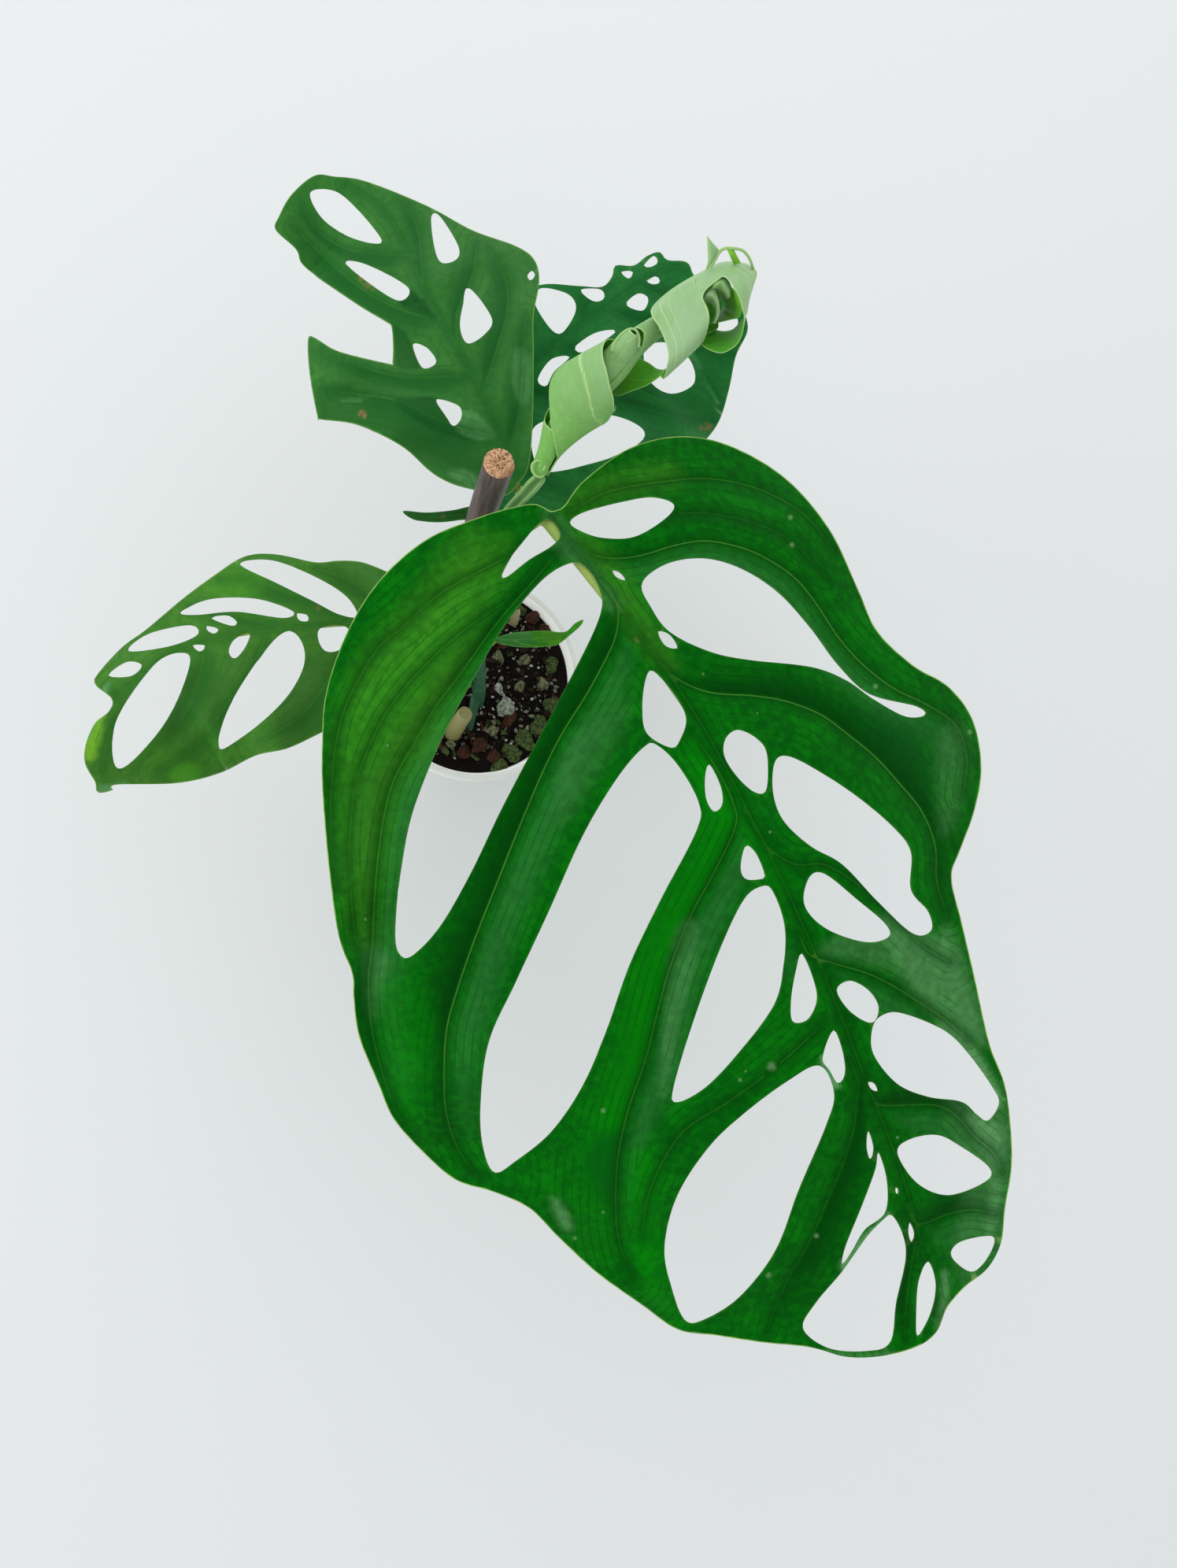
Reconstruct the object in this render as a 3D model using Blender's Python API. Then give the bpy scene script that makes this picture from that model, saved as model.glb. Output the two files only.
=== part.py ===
"""A potted climbing monstera with pierced leaves, its stake and its nursery pot."""

import bmesh
import bpy
import random
from math import atan2, ceil, cos, hypot, pi, radians, sin
from mathutils import Matrix, Vector
from mathutils.geometry import delaunay_2d_cdt

MM = 0.001

# Driving sizes of the pot, the soil and the stake.
POT_HEIGHT = 90 * MM
POT_RIM_RADIUS = 52.5 * MM
POT_FOOT_RADIUS = 36 * MM
POT_WALL = 1.6 * MM
RIM_DEPTH = 11 * MM
SOIL_HEIGHT = 82 * MM
STAKE_RADIUS = 5.5 * MM
STAKE_TOP = 291 * MM
STAKE_FOOT = Vector((-14 * MM, 31 * MM, 45 * MM))
STEM_RADIUS = 3.4 * MM

# Clearance between pieces that touch, and the thickness of an open blade and of a rolled one.
GAP = 0.3 * MM
BLADE = 0.8 * MM
ROLLED = 0.6 * MM

# The leaves are drawn as they look from one point above the plant, on a board squared in quarter
# millimetres that faces that point. Each point of a drawing then goes back along its line of sight
# to the height at which the leaf grows.
EYE = Vector((-64 * MM, -119 * MM, 667 * MM))
EYE_TURN = Matrix.Rotation(radians(6.42), 3, "X") @ Matrix.Rotation(radians(-11.63), 3, "Y")
BOARD_DISTANCE = 374.25 * MM
SQUARE = 0.25 * MM
BOARD_CENTRE = (747.5, 996.0)
RIDGE_STEP = 27

# Each leaf: the outline from the base round the tip, the midrib from base to tip, the height in
# millimetres at even steps along the midrib, and how far each side falls at its half width.
FRONT_LEAF = {
    "outline": [
        (699, 649), (688, 643), (675, 640), (640, 647), (600, 660), (545, 683), (498, 720), (462, 764),
        (432, 823), (413, 885), (409, 940), (409, 1000), (417, 1100), (430, 1190), (447, 1237),
        (449, 1270), (456, 1318), (480, 1377), (500, 1422), (540, 1467), (580, 1500), (625, 1514),
        (672, 1535), (710, 1573), (760, 1619), (815, 1658), (860, 1689), (910, 1697), (970, 1706),
        (1030, 1712), (1075, 1724), (1120, 1723), (1165, 1711), (1190, 1692), (1203, 1662),
        (1225, 1636), (1255, 1611), (1272, 1578), (1277, 1535), (1286, 1470), (1278, 1385),
        (1257, 1325), (1238, 1240), (1222, 1172), (1209, 1115), (1220, 1080), (1238, 1030),
        (1247, 975), (1236, 915), (1205, 872), (1160, 845), (1115, 802), (1090, 748), (1055, 674),
        (1000, 609), (930, 567), (865, 554), (800, 569), (742, 610), (717, 642), (706, 648),
    ],
    "holes": [
        [(685, 665), (700, 661), (712, 679), (700, 694), (672, 711), (645, 732), (637, 732),
         (644, 715), (662, 691)],
        [(728, 714), (748, 724), (762, 748), (764, 775), (745, 822), (700, 908), (640, 1022),
         (600, 1105), (560, 1175), (525, 1213), (508, 1214), (501, 1185), (509, 1105), (524, 1030),
         (560, 940), (605, 855), (645, 788), (690, 735)],
        [(830, 852), (858, 883), (872, 912), (865, 938), (853, 950), (822, 932), (816, 900),
         (820, 864)],
        [(834, 946), (862, 973), (888, 1020), (885, 1055), (840, 1142), (800, 1225), (770, 1310),
         (740, 1380), (700, 1438), (655, 1475), (628, 1490), (614, 1462), (610, 1410), (620, 1325),
         (655, 1248), (697, 1158), (740, 1062), (785, 987), (818, 949)],
        [(902, 971), (916, 998), (918, 1022), (907, 1031), (897, 1014), (896, 985)],
        [(950, 1074), (962, 1086), (972, 1112), (966, 1117), (948, 1117), (941, 1105), (944, 1082)],
        [(968, 1126), (982, 1132), (997, 1175), (996, 1225), (983, 1278), (935, 1342), (895, 1383),
         (860, 1401), (855, 1384), (880, 1300), (915, 1205), (945, 1143)],
        [(1019, 1211), (1034, 1245), (1038, 1272), (1026, 1296), (1007, 1298), (1005, 1270),
         (1011, 1234)],
        [(1059, 1309), (1071, 1336), (1074, 1364), (1065, 1377), (1054, 1360), (1045, 1344)],
        [(1041, 1354), (1060, 1389), (1050, 1430), (1015, 1512), (985, 1590), (940, 1648),
         (895, 1677), (870, 1678), (853, 1636), (844, 1585), (860, 1520), (900, 1458), (945, 1415),
         (1000, 1374)],
        [(1103, 1437), (1110, 1458), (1106, 1474), (1101, 1458)],
        [(1116, 1464), (1127, 1500), (1123, 1538), (1096, 1562), (1078, 1592), (1067, 1605),
         (1074, 1584), (1095, 1532), (1112, 1486)],
        [(1133, 1544), (1147, 1568), (1151, 1600), (1139, 1655), (1131, 1706), (1100, 1717),
         (1052, 1713), (1020, 1688), (1036, 1656), (1068, 1618), (1088, 1590), (1104, 1568),
         (1122, 1550)],
        [(1156, 1553), (1162, 1568), (1158, 1579), (1154, 1566)],
        [(1179, 1603), (1189, 1630), (1184, 1665), (1166, 1698), (1164, 1668), (1167, 1628)],
        [(724, 663), (742, 650), (790, 637), (830, 631), (857, 641), (842, 661), (805, 682),
         (765, 683), (737, 674)],
        [(778, 724), (788, 727), (795, 737), (783, 733)],
        [(837, 803), (850, 808), (859, 822), (846, 819)],
        [(815, 745), (827, 727), (858, 712), (900, 709), (945, 723), (990, 753), (1030, 797),
         (1065, 844), (1105, 881), (1165, 897), (1176, 908), (1150, 910), (1108, 887), (1075, 864),
         (1030, 847), (950, 838), (900, 827), (850, 802), (825, 768)],
        [(922, 938), (938, 927), (962, 938), (975, 958), (974, 1003), (958, 1006), (935, 985),
         (920, 960)],
        [(985, 967), (1004, 961), (1045, 982), (1090, 1012), (1135, 1050), (1158, 1082),
         (1158, 1130), (1180, 1158), (1184, 1182), (1160, 1186), (1115, 1145), (1070, 1098),
         (1030, 1075), (995, 1042), (982, 1005)],
        [(1028, 1115), (1048, 1110), (1090, 1143), (1125, 1173), (1130, 1190), (1100, 1197),
         (1050, 1180), (1022, 1150)],
        [(1063, 1258), (1080, 1246), (1104, 1258), (1117, 1280), (1108, 1300), (1080, 1285)],
        [(1119, 1291), (1145, 1287), (1200, 1309), (1232, 1340), (1262, 1382), (1270, 1402),
         (1256, 1424), (1241, 1416), (1222, 1400), (1180, 1394), (1140, 1377), (1110, 1340),
         (1108, 1308)],
        [(1103, 1375), (1111, 1377), (1115, 1387), (1107, 1384)],
        [(1140, 1465), (1155, 1448), (1190, 1442), (1220, 1456), (1258, 1484), (1252, 1502),
         (1205, 1519), (1165, 1503)],
        [(1208, 1592), (1222, 1577), (1262, 1571), (1258, 1594), (1238, 1616), (1218, 1607)],
    ],
    "midrib": [(700, 657), (790, 775), (880, 902), (945, 1020), (1000, 1132), (1052, 1250),
               (1100, 1372), (1140, 1475), (1168, 1570), (1190, 1670)],
    "heights": [287, 293, 296, 294, 288, 277, 262, 246],
    "halves": [(415, 34), (290, 40)],
    "waves": (6, 2.5),
    "rib": (5.2, 0.8, 0.85),
    "material": "leaf_front",
}
BACK_LEFT_LEAF = {
    "outline": [
        (660, 612), (672, 590), (677, 530), (678, 450), (678, 400), (685, 358), (679, 330), (655, 312),
        (600, 292), (540, 260), (465, 230), (425, 224), (399, 223), (370, 247), (354, 275), (350, 292),
        (376, 317), (388, 340), (450, 384), (491, 409), (497, 415), (499, 440), (498, 460), (494, 462),
        (430, 446), (400, 429), (391, 431), (393, 475), (403, 529), (407, 533), (455, 540), (510, 567),
        (545, 598), (570, 613), (600, 622),
        (640, 630),
    ],
    "holes": [
        [(394, 244), (425, 242), (455, 267), (484, 303), (474, 309), (440, 299), (408, 276)],
        [(438, 333), (465, 335), (518, 364), (508, 382), (475, 364)],
        [(548, 274), (559, 274), (582, 311), (580, 329), (560, 333), (551, 310)],
        [(596, 365), (625, 403), (616, 424), (594, 436), (584, 415), (588, 385)],
        [(524, 437), (542, 441), (554, 460), (536, 467)],
        [(554, 507), (582, 515), (586, 530), (576, 541), (564, 526)],
        [(670, 350), (676, 343), (680, 349), (674, 356)],
    ],
    "midrib": [(656, 604), (638, 560), (612, 500), (582, 445), (560, 405), (538, 365), (520, 325),
               (500, 285), (470, 252), (440, 234)],
    "heights": [243, 248, 247, 240, 228, 214],
    "halves": [(190, 20), (120, 14)],
    "waves": (4, 2.5),
    "rib": (1.9, 0.7, 0.9),
    "material": "leaf_back_left",
}
BACK_RIGHT_LEAF = {
    "outline": [
        (628, 505), (622, 470), (635, 415), (660, 375), (690, 361), (735, 363), (765, 364), (778, 350),
        (782, 337), (805, 337), (822, 325), (838, 320), (848, 330), (873, 333), (884, 352), (915, 365),
        (940, 388), (950, 418), (935, 452), (926, 495), (912, 538), (885, 570), (840, 605),
        (780, 636), (730, 652), (690, 657), (648, 656), (626, 622), (628, 560),
    ],
    "holes": [
        [(678, 380), (688, 365), (722, 373), (732, 392), (718, 419), (706, 423), (690, 405)],
        [(738, 367), (764, 367), (768, 378), (758, 383), (746, 378)],
        [(789, 345), (804, 344), (799, 354)],
        [(818, 337), (831, 324), (836, 333), (826, 339)],
        [(821, 356), (834, 350), (839, 358), (830, 361)],
        [(796, 384), (811, 372), (824, 378), (818, 394), (801, 391)],
        [(731, 440), (757, 422), (783, 420), (756, 440), (738, 448)],
        [(683, 482), (700, 456), (724, 453), (704, 472), (694, 491)],
        [(818, 447), (835, 435), (860, 440), (880, 462), (881, 489), (852, 500), (826, 484)],
        [(677, 545), (720, 529), (782, 528), (820, 551), (790, 576), (720, 597), (684, 594)],
        [(902, 409), (920, 403), (937, 405), (935, 417), (921, 424), (905, 419)],
    ],
    "midrib": [(634, 507), (668, 470), (705, 437), (745, 408), (790, 376), (835, 346), (862, 338)],
    "heights": [188, 196, 199, 197, 190, 180],
    "halves": [(75, 9), (190, 22)],
    "waves": (4, 2.5),
    "rib": (1.9, 0.7, 0.9),
    "material": "leaf_back_right",
}
LEFT_LEAF = {
    "outline": [
        (556, 796), (560, 765), (530, 742), (494, 727), (460, 714), (430, 712), (400, 714), (350, 704),
        (310, 707), (270, 732), (230, 762), (185, 800), (155, 822), (124, 856), (121, 870),
        (142, 888), (138, 904), (121, 918), (109, 945), (108, 970), (121, 994), (124, 1007),
        (143, 1004), (147, 997), (225, 995), (280, 982), (325, 960), (365, 951), (408, 931),
        (460, 905), (510, 868), (545, 825),
    ],
    "holes": [
        [(304, 716), (345, 711), (400, 732), (440, 757), (454, 783), (430, 780), (395, 762),
         (350, 740)],
        [(228, 778), (265, 761), (325, 760), (372, 776), (360, 785), (300, 777), (250, 781)],
        [(377, 779), (390, 781), (391, 789), (380, 788)],
        [(268, 785), (288, 781), (301, 790), (294, 795)],
        [(262, 795), (277, 799), (272, 805), (263, 801)],
        [(162, 827), (188, 805), (240, 794), (251, 806), (215, 821)],
        [(244, 820), (260, 820), (254, 828)],
        [(137, 858), (160, 841), (180, 845), (166, 859)],
        [(297, 812), (317, 804), (311, 823), (298, 837), (290, 828)],
        [(367, 801), (385, 820), (384, 852), (355, 897), (290, 949), (277, 943), (295, 890),
         (340, 822)],
        [(233, 829), (240, 848), (212, 915), (165, 970), (145, 970), (148, 915), (195, 845)],
        [(406, 798), (430, 794), (443, 800), (434, 824), (415, 828), (405, 815)],
    ],
    "midrib": [(552, 800), (500, 796), (448, 792), (385, 797), (322, 803), (262, 816), (205, 838),
               (150, 882)],
    "heights": [204, 210, 211, 206, 196, 180],
    "halves": [(185, 26), (95, 14)],
    "waves": (4, 2.5),
    "rib": (1.9, 0.7, 0.75),
    "material": "leaf_left",
}
YOUNG_LEAF = {
    "outline": [
        (628, 812), (650, 804), (690, 801), (711, 803), (721, 801), (730, 792), (741, 787), (737, 795),
        (726, 805), (713, 816), (700, 821), (660, 822), (636, 818),
    ],
    "holes": [],
    "midrib": [(634, 813), (660, 812), (690, 810), (712, 808)],
    "heights": [131, 134, 135, 134],
    "halves": [(12, 1), (12, 1)],
    "waves": (1, 0),
    "rib": (1.1, 0.6, 0.9),
    "material": "leaf_young",
}
STRAP_LEAF = {
    "outline": [
        (605, 652), (600, 643), (575, 648), (542, 651), (512, 649), (524, 659), (540, 662),
        (560, 663), (588, 660), (602, 659),
    ],
    "holes": [],
    "midrib": [(602, 651), (575, 655), (545, 657), (522, 654)],
    "heights": [213, 214, 214, 213],
    "halves": [(12, 1), (12, 1)],
    "waves": (1, 0),
    "rib": (1.1, 0.6, 0.9),
    "material": "leaf_strap",
}

# Routes of the stem, its old stub and the leaf stalks, in millimetres, each from its foot upwards.
STEM_ROUTE = [(1, -11, 50), (1, -11, 84), (-1, -5, 108), (-4, 4, 135), (-6, 9, 158)]
STUB_ROUTE = [(-11.6, -27.7, 72), (-11.3, -27.2, 86), (-7.4, -21, 104)]
SHEATH_FOOT = (20, 29, 72)
STALK_ROUTES = {
    "front_leaf": [(-7.5, 0.2, 140), (-9.2, 5, 172), (-8.8, 9.8, 205), (-7.4, 13.4, 238),
                   (-3.2, 18.4, 262)],
    "back_left_leaf": [(-3.3, 8.2, 131), (-4.5, 18, 165), (-3, 29, 198), (2, 44, 226)],
    "back_right_leaf": [(0.7, -2.6, 100), (0.6, 19.3, 108), (-0.5, 45, 124), (0.5, 68, 150)],
    "left_leaf": [(-6.2, -6, 103), (-14, -7, 130), (-22, -6, 168), (-27, -5, 192)],
    "young_leaf": [(-1.4, 2.7, 117), (1.6, 6.6, 124)],
    "strap_leaf": [(-6.7, 26.5, 190), (-5, 36.5, 201)],
}
NEW_STALK_ROUTE = [(-6.1, 9.2, 158.6), (-6.3, 14, 185), (-7, 17.5, 215), (-10.3, 19.5, 242),
                   (-8.5, 21, 270), (-4.3, 22.6, 288), (-1.5, 23.9, 297.6)]

# The newest leaf's roll: squares of the board, height and radius in millimetres along its middle,
# for the outer ribbon and for the rolled core. Then how each winds: degrees round the middle, where
# its two edges lie along it, and its share of the radius.
ROLL = [(699, 606, 299, 3.3), (706, 570, 305, 4.1), (714, 543, 310, 6.4), (728, 508, 316, 10.4),
        (757, 486, 322, 9.9), (800, 458, 331, 8.7), (855, 420, 341, 8.4), (893, 396, 348, 8.9),
        (917, 390, 354, 11), (929, 389, 363, 9.3), (928, 388, 372, 5)]
CORE = [(690, 603, 299, 3.1), (698, 585, 302.5, 3), (705, 567, 305.5, 2.9), (716, 540, 310.5, 4.2),
        (733, 508, 316.5, 5.8), (763, 480, 323, 6.8), (791, 453, 331, 7), (835, 420, 340, 6.9),
        (872, 402, 346, 6)]
WINDING = [(-20, 0.4, 3.9, 1), (0, 0.3, 4, 1), (45, 0.5, 4.15, 1), (90, 0.85, 4.3, 1),
           (135, 1, 4.56, 1), (180, 1.1, 4.77, 1), (225, 1.9, 5.05, 1), (270, 3.1, 5.3, 1),
           (315, 4.2, 5.6, 1), (360, 5.2, 5.95, 1), (405, 5.65, 6.5, 1), (450, 5.8, 7, 1),
           (495, 5.8, 7.15, 1), (540, 5.75, 7.3, 1), (585, 6.3, 8.6, 1), (630, 7.3, 9.9, 1),
           (675, 7.7, 10, 1), (720, 7.9, 10, 1), (765, 8, 10, 1), (810, 8.1, 10, 0.97),
           (855, 8.2, 9.9, 0.88), (900, 8.3, 9.8, 0.78), (945, 8.4, 9.6, 0.68),
           (990, 8.5, 9.4, 0.58)]
CORE_WINDING = [(0, 0.1, 4.6, 1), (90, 0.1, 4.9, 0.95), (180, 0.1, 5.2, 0.9),
                (270, 0.1, 5.5, 0.85), (315, 1.8, 5.7, 0.83), (360, 3.6, 5.9, 0.8),
                (450, 4.2, 6.2, 0.77), (540, 4.7, 6.5, 0.74), (630, 5.2, 6.9, 0.7),
                (720, 5.7, 7.4, 0.66), (810, 6, 7.9, 0.6)]

# The rolled leaf's drip tip: where round the roll it stands out, how far either side it reaches in
# degrees, and how far out as a share of the radius.
TIP_TURN = 556
TIP_REACH = 18
TIP_RISE = 0.8

COLOURS = {
    "leaf_front": (0.02, 0.16, 0.015),
    "leaf_back_left": (0.03, 0.16, 0.03),
    "leaf_back_right": (0.02, 0.12, 0.03),
    "leaf_left": (0.035, 0.17, 0.025),
    "leaf_young": (0.05, 0.27, 0.03),
    "leaf_strap": (0.03, 0.14, 0.03),
    "new_leaf": (0.26, 0.5, 0.14),
    "stalk": (0.19, 0.35, 0.08),
    "stem": (0.03, 0.11, 0.06),
    "stub": (0.4, 0.38, 0.15),
    "dry_sheath": (0.42, 0.4, 0.22),
    "stake": (0.055, 0.035, 0.035),
    "soil": (0.035, 0.022, 0.016),
    "pot": (0.82, 0.81, 0.78),
}


def clear_scene():
    for old in list(bpy.data.objects):
        bpy.data.objects.remove(old, do_unlink=True)


def material(name, roughness=0.45):
    made = bpy.data.materials.new(name)
    made.use_nodes = True
    shader = made.node_tree.nodes["Principled BSDF"]
    shader.inputs["Base Color"].default_value = (*COLOURS[name], 1)
    shader.inputs["Roughness"].default_value = roughness
    shader.inputs["Metallic"].default_value = 0
    return made


def add_object(name, mesh, finish, smooth_angle=40):
    mesh.shade_smooth()
    mesh.set_sharp_from_angle(angle=radians(smooth_angle))
    mesh.materials.append(finish)
    made = bpy.data.objects.new(name, mesh)
    bpy.context.scene.collection.objects.link(made)
    return made


def apply_modifiers(target):
    shape = target.evaluated_get(bpy.context.evaluated_depsgraph_get())
    old = target.data
    target.data = bpy.data.meshes.new_from_object(shape)
    target.modifiers.clear()
    bpy.data.meshes.remove(old)


def sight(x, y):
    """Direction of the line of sight through a square of the board."""
    across = (x - BOARD_CENTRE[0]) * SQUARE
    upward = (BOARD_CENTRE[1] - y) * SQUARE
    return EYE_TURN @ Vector((across, upward, -BOARD_DISTANCE))


def at_height(x, y, height):
    """The point that a square of the board hides at this height above the floor."""
    line = sight(x, y)
    return EYE + line * ((height - EYE.z) / line.z)


def spline(points, closed, steps=8):
    """Points of a smooth curve through the given ones, a few for each stretch."""
    knots = [Vector(p) for p in points]
    count = len(knots)
    if not closed:
        knots = [knots[0] * 2 - knots[1]] + knots + [knots[-1] * 2 - knots[-2]]
    curve = []
    for i in range(count if closed else count - 1):
        if closed:
            a, b, c, d = (knots[(i + k) % count] for k in (-1, 0, 1, 2))
        else:
            a, b, c, d = knots[i:i + 4]
        for k in range(steps):
            t = k / steps
            curve.append(0.5 * (2 * b + (c - a) * t + (2 * a - 5 * b + 4 * c - d) * t ** 2
                                + (3 * b - a - 3 * c + d) * t ** 3))
    if not closed:
        curve.append(Vector(points[-1]))
    return curve


def resample(curve, step, closed, fewest=2):
    """Even steps along a curve."""
    line = curve + [curve[0]] if closed else curve
    lengths = [0.0]
    for a, b in zip(line, line[1:]):
        lengths.append(lengths[-1] + (b - a).length)
    count = max(fewest, ceil(lengths[-1] / step))
    even = []
    at = 0
    for i in range(count if closed else count + 1):
        wanted = lengths[-1] * i / count
        while at < len(lengths) - 2 and lengths[at + 1] < wanted:
            at += 1
        part = (wanted - lengths[at]) / (lengths[at + 1] - lengths[at])
        even.append(line[at].lerp(line[at + 1], part))
    return even


def inside(x, y, loops):
    """Whether a point lies in the drawing: within an odd number of loops."""
    odd = False
    for loop in loops:
        for a, b in zip(loop, loop[1:] + loop[:1]):
            if (a[1] > y) != (b[1] > y) and x < a[0] + (y - a[1]) / (b[1] - a[1]) * (b[0] - a[0]):
                odd = not odd
    return odd


def fill(loops, ridge, spacing):
    """Flat triangles inside the loops, with a ridge line and a hexagonal net of inner points."""
    points = [p.copy() for loop in loops for p in loop]
    edges = []
    start = 0
    for loop in loops:
        edges += [(start + i, start + (i + 1) % len(loop)) for i in range(len(loop))]
        start += len(loop)
    keep_off = 0.55 * spacing
    rows = ceil((max(p.y for p in points) - min(p.y for p in points)) / (spacing * sin(pi / 3)))
    columns = ceil((max(p.x for p in points) - min(p.x for p in points)) / spacing)
    low = Vector((min(p.x for p in points), min(p.y for p in points)))
    inner = []
    last = None
    for i, p in enumerate(ridge):
        if inside(p.x, p.y, loops) and min((p - q).length for q in points) > keep_off:
            if last == i - 1:
                edges.append((start + len(inner) - 1, start + len(inner)))
            inner.append(p)
            last = i
    ridge_points = list(inner)
    for row in range(rows + 1):
        for column in range(columns + 1):
            p = low + Vector(((column + 0.5 * (row % 2)) * spacing, row * spacing * sin(pi / 3)))
            if not inside(p.x, p.y, loops):
                continue
            if min((p - q).length for q in points) < keep_off:
                continue
            if ridge_points and min((p - q).length for q in ridge_points) < keep_off:
                continue
            inner.append(p)
    flat, _, faces, _, _, _ = delaunay_2d_cdt(points + inner, edges, [], 0, 1e-4)
    kept = []
    for face in faces:
        middle = sum((flat[i] for i in face), Vector((0, 0))) / 3
        if inside(middle.x, middle.y, loops):
            kept.append(list(face))
    return flat, kept


class Blade:
    """One leaf's form: its drawing and the height of every point in it."""

    def __init__(self, drawing):
        self.drawing = drawing
        self.midrib = spline([Vector(p) for p in drawing["midrib"]], closed=False)
        self.line = resample(self.midrib, 12, closed=False)
        self.ridge = resample(self.midrib, RIDGE_STEP, closed=False)
        head = (self.line[0] - self.line[2]).normalized() * 200
        tail = (self.line[-1] - self.line[-3]).normalized() * 200
        self.reach = [self.line[0] + head] + self.line + [self.line[-1] + tail]

    def nearest(self, x, y):
        """Place along the midrib from 0 to 1, and distance to its left (-) or right (+)."""
        best = None
        p = Vector((x, y))
        for i, (a, b) in enumerate(zip(self.reach, self.reach[1:])):
            run = b - a
            t = min(1.0, max(0.0, (p - a).dot(run) / run.length_squared))
            off = p - (a + run * t)
            if best is None or off.length < best[0]:
                side = run.x * off.y - run.y * off.x
                best = (off.length, i - 1 + t, side)
        length, place, side = best
        along = min(1.0, max(0.0, place / (len(self.line) - 1)))
        return along, length if side < 0 else -length

    def height(self, x, y):
        """Height of the upper face above the floor: the midrib's, less the fall to the side."""
        along, off = self.nearest(x, y)
        heights = self.drawing["heights"]
        span = along * (len(heights) - 1)
        i = min(int(span), len(heights) - 2)
        t = span - i
        t = t * t * (3 - 2 * t) * 0.35 + t * 0.65
        ridge = heights[i] * (1 - t) + heights[i + 1] * t
        width, fall = self.drawing["halves"][0 if off < 0 else 1]
        part = abs(off) / width
        count, swing = self.drawing["waves"]
        wave = swing * sin(2 * pi * count * along + (0 if off < 0 else 1)) * min(part, 1.2) ** 2
        return (ridge - fall * part ** 1.7 + wave) * MM

    def point(self, x, y):
        return at_height(x, y, self.height(x, y))

    def normal(self, x, y):
        step = 4
        across = self.point(x + step, y) - self.point(x - step, y)
        down = self.point(x, y + step) - self.point(x, y - step)
        return down.cross(across).normalized()


def make_leaf(name, drawing, step, spacing):
    """A blade: its drawing filled with triangles, bent to its form and given its thickness."""
    blade = Blade(drawing)
    loops = [resample(spline([Vector(p) for p in drawing["outline"]], True), step, True)]
    for hole in drawing["holes"]:
        loops.append(resample(spline([Vector(p) for p in hole], True), step, True, fewest=6))
    flat, faces = fill(loops, blade.ridge, spacing)
    mesh = bpy.data.meshes.new(name)
    mesh.from_pydata([blade.point(p.x, p.y) for p in flat], [], faces)
    sheet = bmesh.new()
    sheet.from_mesh(mesh)
    bmesh.ops.delete(sheet, geom=[v for v in sheet.verts if not v.link_faces], context="VERTS")
    bmesh.ops.recalc_face_normals(sheet, faces=sheet.faces)
    if sum(face.normal.z for face in sheet.faces) < 0:
        bmesh.ops.reverse_faces(sheet, faces=sheet.faces)
    sheet.to_mesh(mesh)
    sheet.free()
    leaf = add_object(name, mesh, material(drawing["material"], 0.35))
    wall = leaf.modifiers.new("thickness", "SOLIDIFY")
    wall.thickness = BLADE
    wall.offset = -1
    return blade, leaf


def loft(rings):
    """A closed solid through rings of points, with a flat cap at each end."""
    shape = bmesh.new()
    made = [[shape.verts.new(p) for p in ring] for ring in rings]
    count = len(rings[0])
    for lower, upper in zip(made, made[1:]):
        for i in range(count):
            j = (i + 1) % count
            shape.faces.new((lower[i], lower[j], upper[j], upper[i]))
    shape.faces.new(made[0][::-1])
    shape.faces.new(made[-1])
    bmesh.ops.recalc_face_normals(shape, faces=shape.faces)
    mesh = bpy.data.meshes.new("loft")
    shape.to_mesh(mesh)
    shape.free()
    return mesh


def tube_rings(route, radii, sides=8):
    """Round sections along a route, turned as little as possible from one to the next."""
    across = Vector((1, 0, 0))
    rings = []
    for i, p in enumerate(route):
        ahead = (route[min(i + 1, len(route) - 1)] - route[max(i - 1, 0)]).normalized()
        across = (across - ahead * across.dot(ahead)).normalized()
        other = ahead.cross(across)
        place = i / (len(route) - 1)
        radius = radii[0] * (1 - place) + radii[1] * place
        rings.append([p + (across * cos(a) + other * sin(a)) * radius
                      for a in (2 * pi * k / sides for k in range(sides))])
    return rings


def millimetres(points):
    return [Vector(p) * MM for p in points]


def rib_section(middle, side, down, half):
    """Six points of a section: left, top, right, then round below."""
    corner = down * 0.7 * half
    return [middle - side * half, middle - down * half, middle + side * half,
            middle + side * 0.75 * half + corner, middle + down * half,
            middle - side * 0.75 * half + corner]


def rib_rings(blade, wide, thin, clear):
    """Sections of the rib under a blade: close under it above and rounded below."""
    line = blade.ridge[:-1]
    rings = []
    for i, p in enumerate(line):
        place = i / (len(line) - 1)
        half = (thin + (wide - thin) * (1 - place) ** 2) / 2 * MM
        ahead = (line[min(i + 1, len(line) - 1)] - line[max(i - 1, 0)]).normalized()
        side = Vector((-ahead.y, ahead.x))
        scale = (blade.point(p.x + side.x, p.y + side.y) - blade.point(p.x, p.y)).length
        down = -blade.normal(p.x, p.y)
        ring = []
        for part in (-1, 0, 1):
            x = p.x + side.x * half / scale * part
            y = p.y + side.y * half / scale * part
            ring.append(blade.point(x, y) - blade.normal(x, y) * (BLADE + clear * MM))
        left, middle, right = ring
        rings.append([left, middle, right, right.lerp(middle, 0.3) + down * half * 1.5,
                      middle + down * half * 2.2, left.lerp(middle, 0.3) + down * half * 1.5])
    return rings


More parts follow.
